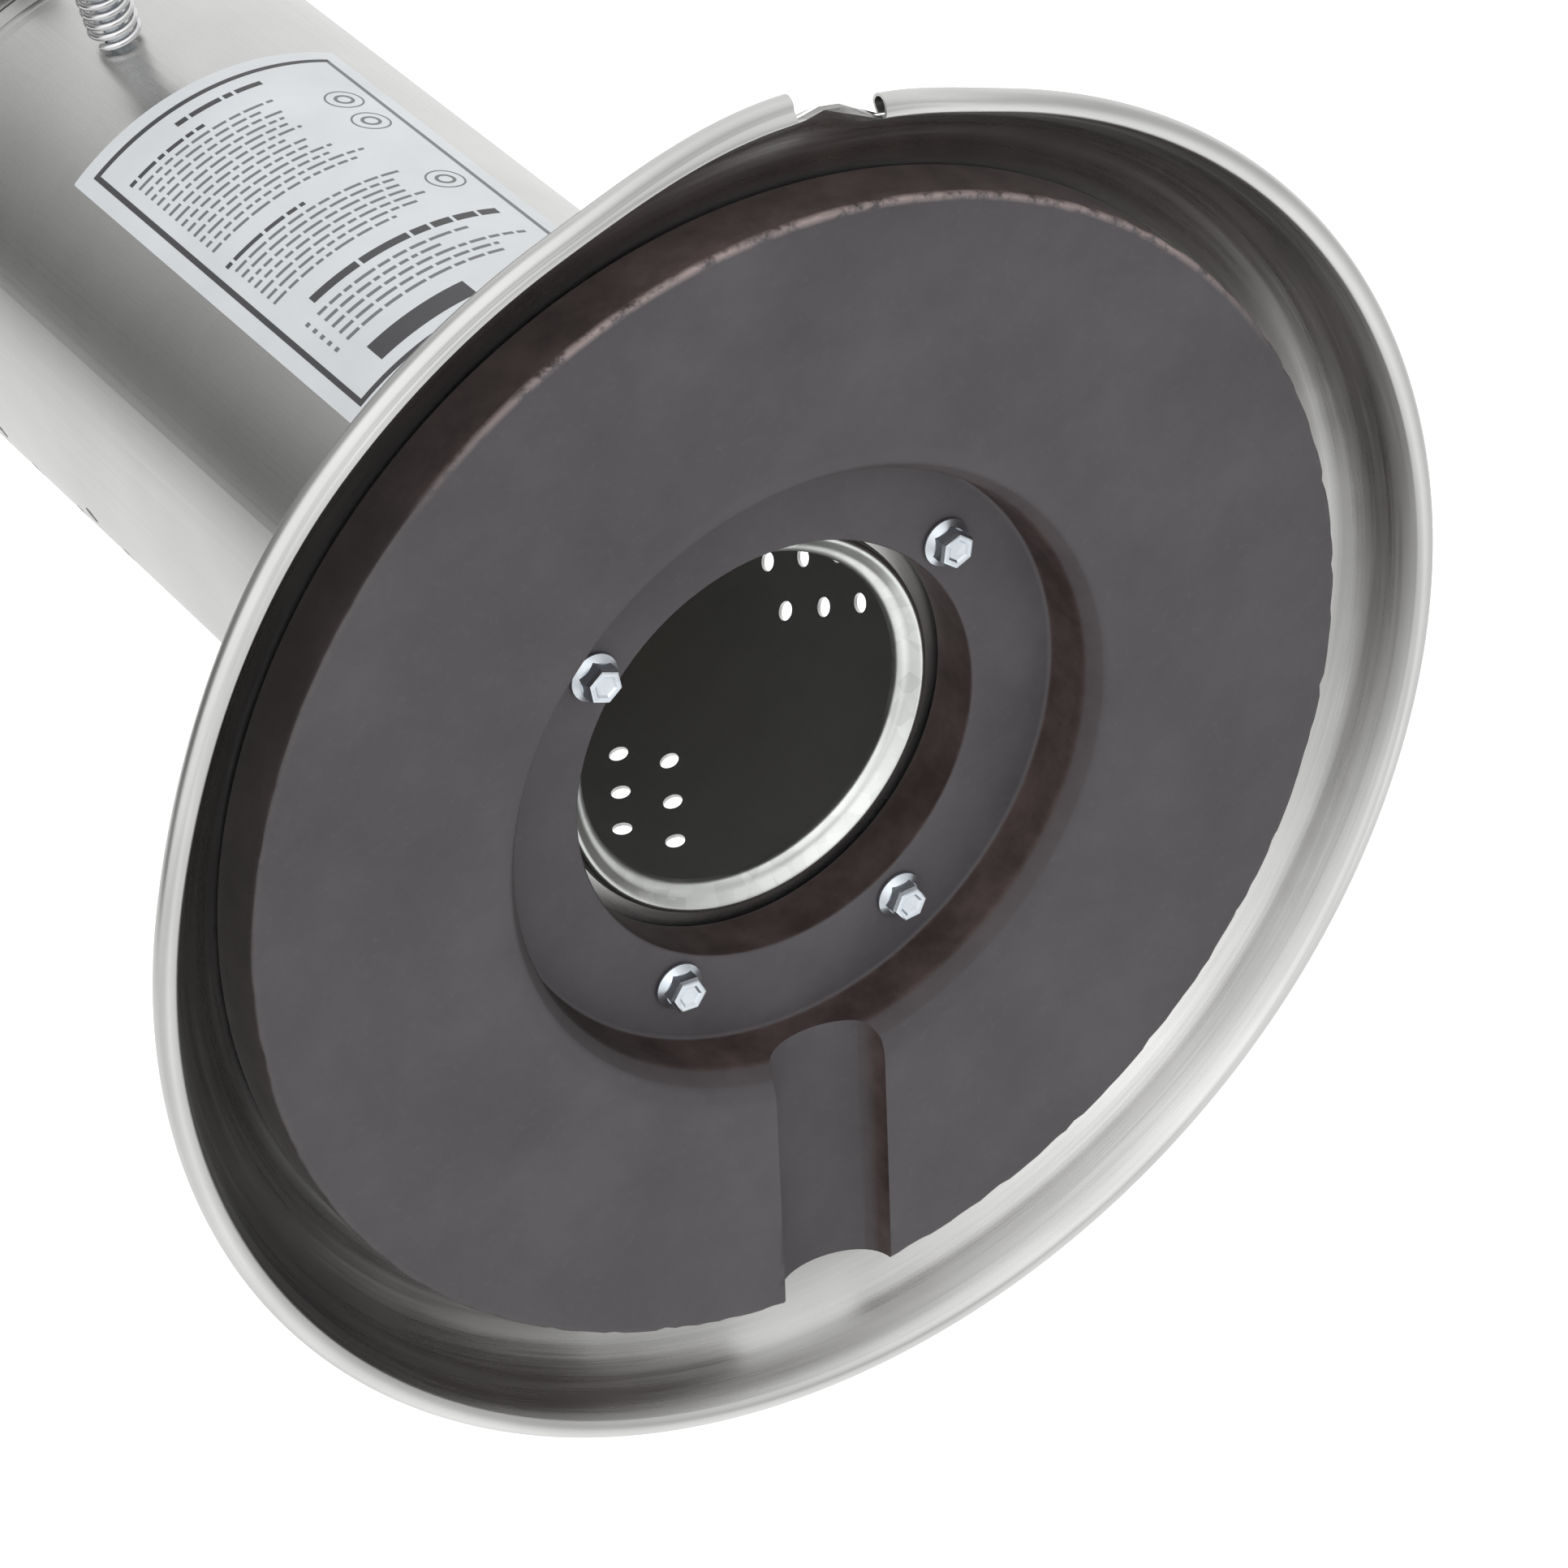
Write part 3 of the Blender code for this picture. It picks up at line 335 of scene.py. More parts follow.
def heat_tinted(name):
    """The emitter's screen: stainless with straw and blue tints higher up."""
    made, tree, shader = material(name)
    z = tree.xyz(tree.place())[2]
    cloud = tree.noise(tree.place(), 22.0, 4.0, 0.6)
    height = tree.math("ADD", tree.math("DIVIDE", tree.math("SUBTRACT", z, 0.44), 0.2),
                       tree.math("MULTIPLY", cloud, 0.25))
    tree.put(shader, "Base Color", tree.ramp(
        height, (0.2, (0.58, 0.57, 0.55)), (0.6, (0.55, 0.5, 0.42)), (0.95, (0.47, 0.42, 0.4)),
        (1.0, (0.4, 0.4, 0.45))))
    shader.inputs["Metallic"].default_value = 1.0
    tree.put(shader, "Roughness", tree.math("ADD", tree.math("MULTIPLY", cloud, 0.2), 0.24))
    bump(tree, shader, cloud, 0.1, 0.0003)
    return made


SHELL = brushed_steel("shell_steel", 0.63, 0.27, 0.2, "around", 1500.0, 0.2, 1.6)
HOUSING = brushed_steel("housing_steel", 0.66, 0.36, 0.12, "along", 1600.0, 0.12, dull_inside=True)
DOOR = brushed_steel("door_steel", 0.65, 0.25, 0.1, "along", 1600.0, 0.1, dull_inside=True)
HEAD = brushed_steel("head_steel", 0.64, 0.3, 0.15, "around", 1200.0, 0.15)
DOME = brushed_steel("dome_steel", 0.7, 0.24, 0.15, "around", 700.0, 0.15)
CAST = cast_iron("cast_weight_iron")
BOLT_ZINC = zinc("bolt_zinc", (0.72, 0.77, 0.82), 0.26, 0.25)
RING_ZINC = zinc("ring_zinc", (0.74, 0.76, 0.74), 0.3, 0.3)
CHROME = plain_metal("coil_chrome", (0.78, 0.78, 0.79), 0.12, 0.02)
BRASS = plain_metal("turned_brass", (0.72, 0.52, 0.24), 0.3)
BLACK = moulded("black_plastic", (0.022, 0.022, 0.023), 0.42)
WHITE_MARK = moulded("white_mark", (0.8, 0.8, 0.78), 0.5)
LABEL = moulded("label_face", (0.78, 0.81, 0.83), 0.4, 900.0, 0.03)
PRINT = moulded("label_print", (0.07, 0.07, 0.075), 0.5, 900.0, 0.03)
GREY_PRINT = moulded("label_grey_print", (0.2, 0.205, 0.215), 0.5, 900.0, 0.03)
CERAMIC = moulded("ceramic", (0.8, 0.77, 0.7), 0.35)
EMITTER = heat_tinted("emitter_steel")


# ---------------------------------------------------------------- modelling helpers

def rounded(points, radius, segments=4, closed=True):
    """The outline with every corner replaced by a short curve."""
    made = []
    count = len(points)
    for i, corner in enumerate(points):
        if not closed and i in (0, count - 1):
            made.append(corner)
            continue
        here, before, after = Vector(corner), Vector(points[i - 1]), Vector(points[(i + 1) % count])
        reach = min(radius, 0.45 * (before - here).length, 0.45 * (after - here).length)
        start = here + (before - here).normalized() * reach
        end = here + (after - here).normalized() * reach
        for step in range(segments + 1):
            t = step / segments
            made.append(tuple((1 - t) ** 2 * start + 2 * t * (1 - t) * here + t * t * end))
    return made


def arc(centre, radius, first, last, count):
    """Points on an arc, angles in degrees."""
    angles = [math.radians(first + (last - first) * i / count) for i in range(count + 1)]
    return [(centre[0] + radius * math.cos(a), centre[1] + radius * math.sin(a)) for a in angles]


def thick(line, thickness):
    """A closed outline of even thickness round an open line."""
    half = thickness / 2
    left, right = [], []
    for i, point in enumerate(line):
        before, after = Vector(line[max(i - 1, 0)]), Vector(line[min(i + 1, len(line) - 1)])
        along = (after - before).normalized()
        across = Vector((-along.y, along.x)) * half
        left.append(tuple(Vector(point) + across))
        right.append(tuple(Vector(point) - across))
    return left + right[::-1]


def finished(bm, name, look, smooth=32.0):
    """Closes the bmesh into an object with smooth shading and sharp corners."""
    data = bpy.data.meshes.new(name)
    bm.to_mesh(data)
    bm.free()
    data.materials.append(look)
    data.shade_smooth()
    data.set_sharp_from_angle(angle=math.radians(smooth))
    made = bpy.data.objects.new(name, data)
    SCENE.collection.objects.link(made)
    return made


def turned_mesh(points, steps):
    """Spins an outline of (radius, height) in millimetres round the Z axis."""
    bm = bmesh.new()
    ring = [bm.verts.new((r * MM, 0.0, z * MM)) for r, z in points]
    edges = [bm.edges.new(pair) for pair in zip(ring, ring[1:] + ring[:1])]
    bmesh.ops.spin(bm, geom=ring + edges, axis=(0, 0, 1), cent=(0, 0, 0), steps=steps,
                   angle=math.tau, use_merge=True)
    bmesh.ops.remove_doubles(bm, verts=bm.verts, dist=1e-7)
    bmesh.ops.recalc_face_normals(bm, faces=bm.faces)
    return bm


def turned(name, points, look, steps=96, matrix=None, smooth=32.0):
    bm = turned_mesh(points, steps)
    if matrix is not None:
        bmesh.ops.transform(bm, matrix=matrix, verts=bm.verts)
    return finished(bm, name, look, smooth)


def polar(radius, angle, z=0.0):
    """A point in metres from millimetres and an angle."""
    return Vector((radius * math.cos(angle), radius * math.sin(angle), z)) * MM


def applied(obj):
    """Replaces the object's mesh with the mesh its modifiers make."""
    bpy.context.view_layer.update()
    shape = obj.evaluated_get(bpy.context.evaluated_depsgraph_get())
    made = bpy.data.meshes.new_from_object(shape)
    obj.modifiers.clear()
    obj.data = made
    made.shade_smooth()
    made.set_sharp_from_angle(angle=math.radians(32.0))
    return obj


def cut(obj, bm):
    """Cuts the closed shape in bm out of the object."""
    data = bpy.data.meshes.new("cutter")
    bmesh.ops.recalc_face_normals(bm, faces=bm.faces)
    bm.to_mesh(data)
    bm.free()
    tool = bpy.data.objects.new("cutter", data)
    SCENE.collection.objects.link(tool)
    change = obj.modifiers.new("cut", "BOOLEAN")
    change.operation, change.object, change.solver = "DIFFERENCE", tool, "EXACT"
    applied(obj)
    bpy.data.objects.remove(tool)
    return obj


def merge(bm, part):
    """Moves all of one bmesh into another."""
    data = bpy.data.meshes.new("part")
    part.to_mesh(data)
    part.free()
    bm.from_mesh(data)
    bpy.data.meshes.remove(data)


def rod(bm, radius, length, middle, turn=Matrix.Identity(4), sides=32):
    """Adds a cylinder in millimetres, its axis along the turned Z."""
    bmesh.ops.create_cone(
        bm, cap_ends=True, segments=sides, radius1=radius * MM, radius2=radius * MM,
        depth=length * MM, matrix=Matrix.Translation(middle) @ turn)


def box(bm, size, middle, turn=Matrix.Identity(4)):
    """Adds a box in millimetres."""
    bmesh.ops.create_cube(
        bm, size=1.0,
        matrix=Matrix.Translation(middle) @ turn @ Matrix.Diagonal((*[s * MM for s in size], 1.0)))


def cut_ring_of_holes(obj, circle_r, angles, hole_r, depth, z):
    """Cuts upright holes on a circle; angles in degrees, the rest in millimetres."""
    tool = bmesh.new()
    for angle in angles:
        rod(tool, hole_r, depth, polar(circle_r, math.radians(angle), z))
    cut(obj, tool)


def wrapped_plate(bm, radius, thickness, centre, low, high, half_angle, corner=0.0, step=2.5):
    """Adds a rectangle of sheet with rounded corners, wrapped on a cylinder."""
    half_w, half_h = half_angle * radius, (high - low) / 2
    outline = [(-half_w, -half_h), (half_w, -half_h), (half_w, half_h), (-half_w, half_h)]
    if corner:
        outline = rounded(outline, corner, 5)
    flat = bmesh.new()
    flat.faces.new([flat.verts.new((s, 0.0, h)) for s, h in outline])
    count = max(1, round(2 * half_w / step))
    for i in range(1, count):
        bmesh.ops.bisect_plane(
            flat, geom=flat.verts[:] + flat.edges[:] + flat.faces[:],
            plane_co=(-half_w + 2 * half_w * i / count, 0, 0), plane_no=(1, 0, 0))
    grown = bmesh.ops.extrude_face_region(flat, geom=flat.faces[:])
    for g in grown["geom"]:
        if isinstance(g, bmesh.types.BMVert):
            g.co.y = -thickness
    for v in flat.verts:
        v.co = polar(radius - v.co.y, centre + v.co.x / radius, (low + high) / 2 + v.co.z)
    bmesh.ops.recalc_face_normals(flat, faces=flat.faces)
    merge(bm, flat)


def stands_for(obj, body, slot, *replaced):
    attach(obj, body)
    if replaced:
        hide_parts(*replaced)
    return obj


# ---------------------------------------------------------------- camera, light and floor

def make_camera():
    """The camera below and in front of the base, turned half round so that the tube runs up and left."""
    azimuth, elevation, roll = math.radians(-24.0), math.radians(-44.909), math.radians(49.359)
    distance, across, upward = 1.2835, 0.011214, -0.003436
    back = Vector((math.sin(azimuth) * math.cos(elevation), -math.cos(azimuth) * math.cos(elevation),
                   math.sin(elevation)))
    right = Vector((math.cos(azimuth), math.sin(azimuth), 0.0))
    up = back.cross(right)
    x_axis = math.cos(roll) * right - math.sin(roll) * up
    y_axis = math.sin(roll) * right + math.cos(roll) * up
    data = bpy.data.cameras.new("camera")
    data.sensor_width = 36.0
    data.lens = 135.22
    camera = bpy.data.objects.new("camera", data)
    place = back * distance - x_axis * across - y_axis * upward
    camera.matrix_world = Matrix.Translation(place) @ Matrix((x_axis, y_axis, back)).transposed().to_4x4()
    SCENE.collection.objects.link(camera)
    SCENE.camera = camera


def make_world():
    """A studio that is white to the camera.

    Things in it see one dark quarter above the horizon, and lighter and dimmer parts below.
    """
    world = bpy.data.worlds.new("studio")
    SCENE.world = world
    tree = Tree(world)
    x, y, z = tree.xyz(tree.nodes.new("ShaderNodeTexCoord").outputs["Generated"])
    turn = tree.math("ARCTAN2", y, x)
    share = tree.math("FRACT", tree.math("ADD", tree.math("DIVIDE", turn, math.tau), 1.0))
    above = tree.ramp(share, (0.0, 0.67), (0.46, 0.67), (0.505, 0.08), (0.56, 0.12), (0.66, 0.3),
                      (0.80, 0.64), (1.0, 0.67))
    below = tree.ramp(share, (0.0, 0.4), (0.05, 0.42), (0.18, 0.68), (0.31, 0.85), (0.44, 0.5),
                      (0.56, 0.78), (0.69, 1.0), (0.8, 0.85), (0.92, 0.55), (1.0, 0.4))
    height = tree.ramp(tree.math("ADD", tree.math("MULTIPLY", z, 0.5), 0.5), (0.45, 0.0), (0.65, 1.0))
    colour = tree.mix(height, below, above)
    camera_ray = tree.nodes.new("ShaderNodeLightPath").outputs["Is Camera Ray"]
    colour = tree.mix(camera_ray, colour, rgb(1.0, 1.0, 1.0))
    background = tree.nodes["Background"]
    tree.put(background, "Color", colour)
    background.inputs["Strength"].default_value = 1.5


def make_floor():
    """A pale floor, seen from above only."""
    data = bpy.data.meshes.new("floor")
    bm = bmesh.new()
    bmesh.ops.create_grid(bm, x_segments=1, y_segments=1, size=12.0)
    bm.to_mesh(data)
    bm.free()
    floor = bpy.data.objects.new("floor", data)
    floor.location.z = -0.3 * MM
    SCENE.collection.objects.link(floor)
    look, tree, shader = material("floor_pale")
    shader.inputs["Base Color"].default_value = rgb(0.86, 0.86, 0.86)
    shader.inputs["Roughness"].default_value = 0.8
    clear = tree.nodes.new("ShaderNodeBsdfTransparent")
    either = tree.nodes.new("ShaderNodeMixShader")
    tree.put(either, "0", tree.nodes.new("ShaderNodeNewGeometry").outputs["Backfacing"])
    tree.put(either, "1", shader.outputs[0])
    tree.put(either, "2", clear.outputs[0])
    tree.links.new(either.outputs[0], tree.nodes["Material Output"].inputs[0])
    data.materials.append(look)
    floor.visible_diffuse = floor.visible_glossy = floor.visible_transmission = False
    floor.visible_shadow = False


# ---------------------------------------------------------------- base

def eased(share):
    """A smooth step from 0 to 1."""
    share = min(1.0, max(0.0, share))
    return share * share * (3.0 - 2.0 * share)


def rim_lift(angle):
    """How far the rim is bent up: in two stages up to the notch's left edge, then down across it."""
    angle = math.degrees(angle % math.tau)
    half = math.degrees(NOTCH_WIDTH / RIM_R / 2)
    left, right = math.degrees(NOTCH_CENTRE) - half, math.degrees(NOTCH_CENTRE) + half
    rise = 0.48 * eased((angle - LIFT_START) / LIFT_STEP)
    rise += 0.52 * eased((angle - left + NOTCH_RISE) / NOTCH_RISE)
    fall = 0.7 * eased((right - angle) / (right - left))
    fall += 0.3 * eased((LIFT_END - angle) / (LIFT_END - right))
    return RIM_LIFT * rise * fall


def notch_flare(angle):
    """How far the free edge between the notch's ends is spread outwards."""
    off = math.degrees((angle - NOTCH_CENTRE + math.pi) % math.tau - math.pi)
    half = math.degrees(NOTCH_WIDTH / RIM_R / 2)
    return FLARE * eased((off + half) / 2.6) * eased((half - off) / 2.8)


def shell_line():
    """The middle of the sheet, from the centre hole to the end of the rolled rim."""
    bead_x, bead_z, bead = RIM_R - BEAD_R, BEAD_R, BEAD_R - SHEET / 2
    dish = [(48.1, 38.6), (82.0, 38.6), (88.0, 36.0), (104.0, 28.4), (126.0, 24.6), (141.5, 23.1),
            (146.0, 21.0), (150.2, 18.4), (153.2, 15.6), (155.4, 12.8), (157.3, 9.2), (158.9, 5.4)]
    dish = rounded(dish, 2.0, 4, closed=False)
    return dish + arc((bead_x, bead_z), bead, -152.0, 150.0, 44)


def base_shell():
    """The dish: the bead is cut away at the notch, then the rim is bent and the notch's edge spread."""
    bm = turned_mesh(thick(shell_line(), SHEET), 288)
    obj = finished(bm, "base_dish", SHELL, 40.0)
    tool = bmesh.new()
    turn = Matrix.Rotation(NOTCH_CENTRE, 4, "Z")
    box(tool, (12.0, NOTCH_WIDTH, 20.0), polar(NOTCH_INNER_R + 6.0, NOTCH_CENTRE, 0.0), turn)
    cut(obj, tool)
    cut_ring_of_holes(obj, BOLT_CIRCLE_R, BOLT_ANGLES, BOLT_HOLE_R, 20.0, 38.0)
    bead_x = RIM_R - BEAD_R
    for v in obj.data.vertices:
        radius, angle = math.hypot(v.co.x, v.co.y) / MM, math.atan2(v.co.y, v.co.x)
        share = min(1.0, max(0.0, (radius - LIFT_START_R) / (bead_x - LIFT_START_R)))
        v.co.z += rim_lift(angle) * share ** 1.5 * MM
        if FLARE_LOW_R < radius < FLARE_HIGH_R:
            v.co += polar(notch_flare(angle) * ((radius - FLARE_LOW_R) / 10.0) ** 2, angle)
    return stands_for(obj, "heater", "stainless", "base_shell")


def base_weight():
    """The casting: a plate whose middle ring is raised, with worn edges and a hose channel."""
    outline = rounded([
        (HOLE_R, 37.4), (77.3, 37.4), (80.3, 34.4), (81.3, WEIGHT_BACK_Z), (WEIGHT_R, WEIGHT_BACK_Z),
        (WEIGHT_R, WEIGHT_Z), (81.2, WEIGHT_Z), (77.4, 7.5), (74.0, 12.0), (72.8, RECESS_Z),
        (HOLE_R, RECESS_Z),
    ], 1.1, 4)
    fine = []
    for here, after in zip(outline, outline[1:] + outline[:1]):
        gap = math.dist(here, after)
        count = max(1, round(gap / 3.0))
        fine += [(here[0] + (after[0] - here[0]) * i / count, here[1] + (after[1] - here[1]) * i / count)
                 for i in range(count)]
    obj = finished(turned_mesh(fine, 300), "base_casting", CAST, 50.0)

    tool = bmesh.new()
    lie = Matrix.Rotation(math.radians(90.0), 4, "Y")
    bmesh.ops.create_cone(tool, cap_ends=True, segments=48, radius1=1.0, radius2=1.0, depth=1.0,
                          matrix=Matrix.Rotation(CHANNEL_ANGLE, 4, "Z")
                          @ Matrix.Diagonal((0.084, 0.0146, 0.011, 1.0)) @ lie)
    bmesh.ops.translate(tool, vec=polar(110.0, CHANNEL_ANGLE, WEIGHT_Z), verts=tool.verts)
    cut(obj, tool)
    cut_ring_of_holes(obj, BOLT_CIRCLE_R, BOLT_ANGLES, BOLT_HOLE_R, 40.0, 32.0)

    for v in obj.data.vertices:
        here = v.co / MM
        radius = math.hypot(here.x, here.y)
        edge = max(0.0, 1.0 - (abs(radius - WEIGHT_R) + abs(here.z - WEIGHT_Z)) / 3.0)
        rough = noise.fractal(here * 0.22, 0.6, 2.1, 4)
        chip = max(0.0, rough) * edge * 0.9
        wave = noise.noise(here * 0.05) * 0.12
        v.co.z += (wave * 0.5 + chip * 0.6) * MM
        v.co.x -= here.x / radius * chip * MM
        v.co.y -= here.y / radius * chip * MM
    return stands_for(obj, "heater", "cast_weight", "base_weight")


def flange_bolt(number, angle, turn):
    """A hex flange bolt seen head first: dished flange, chamfered hexagon, shallow cup in the top."""
    seat, head = RECESS_Z - 0.3, 5.4
    bm = turned_mesh([
        (0.0, 46.4), (2.0, 46.4), (2.4, 45.8), (2.4, seat), (5.5, seat), (5.8, seat - 0.3),
        (5.75, seat - 0.7), (4.6, seat - 1.5), (4.2, seat - 1.9), (0.0, seat - 1.9),
    ], 40)
    corner = 8.0 / math.sqrt(3.0)
    corners = [(math.cos(turn + math.tau * i / 6), math.sin(turn + math.tau * i / 6)) for i in range(6)]
    levels = [(1.0, seat - 1.0), (1.0, seat - head + 1.0), (0.9, seat - head + 0.15), (0.82, seat - head),
              (0.62, seat - head), (0.5, seat - head + 0.45)]
    rings = [[bm.verts.new((corner * share * x * MM, corner * share * y * MM, z * MM)) for x, y in corners]
             for share, z in levels]
    for lower, upper in zip(rings, rings[1:]):
        for i in range(6):
            bm.faces.new((lower[i], lower[(i + 1) % 6], upper[(i + 1) % 6], upper[i]))
    bm.faces.new(rings[-1])
    bm.faces.new(rings[0])
    bmesh.ops.recalc_face_normals(bm, faces=bm.faces)
    bmesh.ops.translate(bm, vec=polar(BOLT_CIRCLE_R, math.radians(angle)), verts=bm.verts)
    obj = finished(bm, f"flange_bolt_{number}", BOLT_ZINC, 25.0)
    return stands_for(obj, "heater", "zinc", f"base_bolt_{number}")


def bottom_ring():
    """Flange, stepped bead and inward lip of the housing's foot."""
    line = rounded([
        (64.8, 39.9), (47.9, 39.9), (47.4, 36.2), (46.4, 35.5), (45.1, 36.6), (43.9, 37.7), (42.5, 38.2),
        (41.6, 39.0), (41.5, 40.3),
    ], 0.9, 4, closed=False)
    obj = turned("housing_foot_ring", thick(line, 0.55), RING_ZINC, 160, smooth=40.0)
    return stands_for(obj, "heater", "zinc", "housing_bottom_ring")


# ---------------------------------------------------------------- lower housing and door

def vent_places():
    """Each group is a three by three square of holes standing on its corner; stacked ones share a hole."""
    places = set()
    for azimuth, height in VENT_GROUPS:
        for i in range(3):
            for j in range(3):
                angle = math.radians(azimuth) + (i - j) * VENT_STEP
                places.add((round(angle, 4), round(height + (i + j - 2) * VENT_ROW, 2)))
    return sorted(places)


def lower_housing():
    """The tube, with the opening behind the door and the vents."""
    inner = TUBE_R - TUBE_T
    obj = turned("housing_tube", [
        (TUBE_R, TUBE_HIGH), (TUBE_R, TUBE_LOW), (inner, TUBE_LOW), (inner, TUBE_HIGH)], HOUSING, 180)
    tool = bmesh.new()
    wrapped_plate(tool, TUBE_R - 6.0, 12.0, FRONT, OPENING_LOW, OPENING_HIGH, OPENING_HALF_ANGLE, 3.0)
    cut(obj, tool)
    tool = bmesh.new()
    for angle, z in vent_places():
        aim = Matrix.Rotation(angle, 4, "Z") @ Matrix.Rotation(math.radians(90.0), 4, "Y")
        rod(tool, VENT_R, 8.0, polar(TUBE_R - TUBE_T / 2, angle, z), aim, 20)
    cut(obj, tool)
    return stands_for(obj, "heater", "stainless", "lower_housing")


def door_plate():
    """The curved door, with the latch's hole."""
    bm = bmesh.new()
    wrapped_plate(bm, DOOR_R, DOOR_T, FRONT, DOOR_LOW, DOOR_HIGH, DOOR_HALF_ANGLE, 4.0)
    obj = finished(bm, "door_cover", DOOR)
    tool = bmesh.new()
    rod(tool, 3.4, 12.0, Vector((0.0, -DOOR_R * MM, HANDLE_Z * MM)), TOWARDS_FRONT)
    cut(obj, tool)
    return stands_for(obj, "door", "stainless", "door_plate")


def label_bar(bm, u0, u1, v0, v1, radius):
    """Adds a printed bar; u runs from the label's left side and v from its top, both 0 to 1."""
    tall = LABEL_HIGH - LABEL_LOW
    middle = LABEL_CENTRE + (u0 + u1 - 1.0) * LABEL_HALF_ANGLE
    wrapped_plate(bm, radius, PRINT_T, middle, LABEL_HIGH - v1 * tall, LABEL_HIGH - v0 * tall,
                  (u1 - u0) * LABEL_HALF_ANGLE)


def label_words(bm, u0, u1, v, height, radius, draw, longest=0.085, ragged=0.0):
    """A row of short bars with gaps, like a line of print."""
    end = u1 - ragged * draw.random()
    u = u0
    while u < end - 0.012:
        length = min(draw.uniform(0.02, longest), end - u)
        label_bar(bm, u, u + length, v - height / 2, v + height / 2, radius)
        u += length + 0.012


def label_ring(bm, u, v, outer, inner, radius):
    """A round dial mark on the label."""
    steps = 24
    tall = LABEL_HIGH - LABEL_LOW
    angle0, z0 = LABEL_CENTRE + (2 * u - 1.0) * LABEL_HALF_ANGLE, LABEL_HIGH - v * tall
    loops = []
    for r, depth in ((outer, 0.0), (outer, PRINT_T), (inner, PRINT_T), (inner, 0.0)):
        loops.append([bm.verts.new(polar(radius + depth, angle0 + r * math.cos(math.tau * i / steps) / radius,
                                         z0 + r * math.sin(math.tau * i / steps))) for i in range(steps)])
    for k in range(4):
        a, b = loops[k], loops[(k + 1) % 4]
        for i in range(steps):
            bm.faces.new((a[i], a[(i + 1) % steps], b[(i + 1) % steps], b[i]))


def instruction_plate():
    """The plate with blank bars where a real one has print."""
    low_r = DOOR_R + DOOR_T + 0.3
    bm = bmesh.new()
    wrapped_plate(bm, low_r, LABEL_T, LABEL_CENTRE, LABEL_LOW, LABEL_HIGH, LABEL_HALF_ANGLE, 0.8)
    stands_for(finished(bm, "label_plate", LABEL), "door", "label", "instruction_plate")

    draw = random.Random(7)
    top = low_r + LABEL_T
    dark, grey = bmesh.new(), bmesh.new()
    for u0, u1, v0, v1 in ((0.055, 0.074, 0.034, 0.977), (0.074, 0.946, 0.034, 0.046),
                           (0.074, 0.946, 0.965, 0.977)):
        label_bar(dark, u0, u1, v0, v1, top)
    label_bar(grey, 0.930, 0.946, 0.046, 0.965, top)
    label_words(dark, 0.35, 0.66, 0.085, 0.014, top, draw, 0.16)
    for first, rows, end in ((0.13, 13, 0.72), (0.478, 7, 0.74)):
        label_words(dark, 0.11, 0.42, first, 0.0105, top, draw, 0.12)
        for row in range(rows):
            label_words(grey, 0.12, end, first + 0.024 + 0.0222 * row, 0.0075, top, draw, 0.07, 0.16)
    label_words(dark, 0.20, 0.87, 0.70, 0.020, top, draw, 0.2)
    for row in range(5):
        v = 0.738 + 0.0245 * row
        label_bar(grey, 0.13, 0.145, v - 0.005, v + 0.005, top)
        label_words(grey, 0.18, 0.93, v, 0.0085, top, draw, 0.08, 0.35)
    label_bar(dark, 0.20, 0.55, 0.885, 0.935, top)
    for v in (0.21, 0.305, 0.56):
        label_ring(grey, 0.83, v, 5.0, 4.5, top)
        label_ring(grey, 0.83, v, 2.6, 1.7, top)
    for bm, name, look in ((dark, "label_dark_bars", PRINT), (grey, "label_grey_bars", GREY_PRINT)):
        bmesh.ops.recalc_face_normals(bm, faces=bm.faces)
        stands_for(finished(bm, name, look), "door", "label")


def door_handle():
    """Coil grip and round knob of the door's latch; its spindle is the CAD piece as it is."""
    start = DOOR_R + DOOR_T + 0.5 + 1.0
    turns, pitch, coil_r, wire_r = 8, 3.0, 5.8, 1.0
    per_turn = 28
    path = bpy.data.curves.new("handle_coil", "CURVE")
    path.dimensions = "3D"
    path.bevel_depth = wire_r * MM
    path.bevel_resolution = 5
    path.use_fill_caps = True
    line = path.splines.new("POLY")
    count = turns * per_turn + 1
    line.points.add(count - 1)
    for i in range(count):
        a = math.tau * i / per_turn + math.radians(200.0)
        forward = start + turns * pitch * i / (count - 1)
        line.points[i].co = (coil_r * math.cos(a) * MM, -forward * MM,
                             (HANDLE_Z + coil_r * math.sin(a)) * MM, 1.0)
    coil = bpy.data.objects.new("handle_coil", path)
    SCENE.collection.objects.link(coil)
    path.materials.append(CHROME)
    stands_for(coil, "door_latch", "chrome", "door_handle_coil")

    place = Matrix.Translation((0.0, 0.0, HANDLE_Z * MM)) @ TOWARDS_FRONT
    back = -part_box("door_handle_knob")[1].y / MM
    outline = rounded([
        (3.4, back), (9.5, back), (13.8, back + 2.8), (15.0, back + 6.0), (14.2, back + 11.0),
        (11.0, back + 14.4), (6.0, back + 15.8), (0.0, back + 16.2),
    ], 1.6, 4, closed=False) + [(0.0, back + 8.2), (3.4, back + 8.2)]
    knob = turned("handle_knob", outline, BLACK, 72, place, 40.0)
    stands_for(knob, "door_latch", "black_plastic", "door_handle_knob")


# ---------------------------------------------------------------- control section

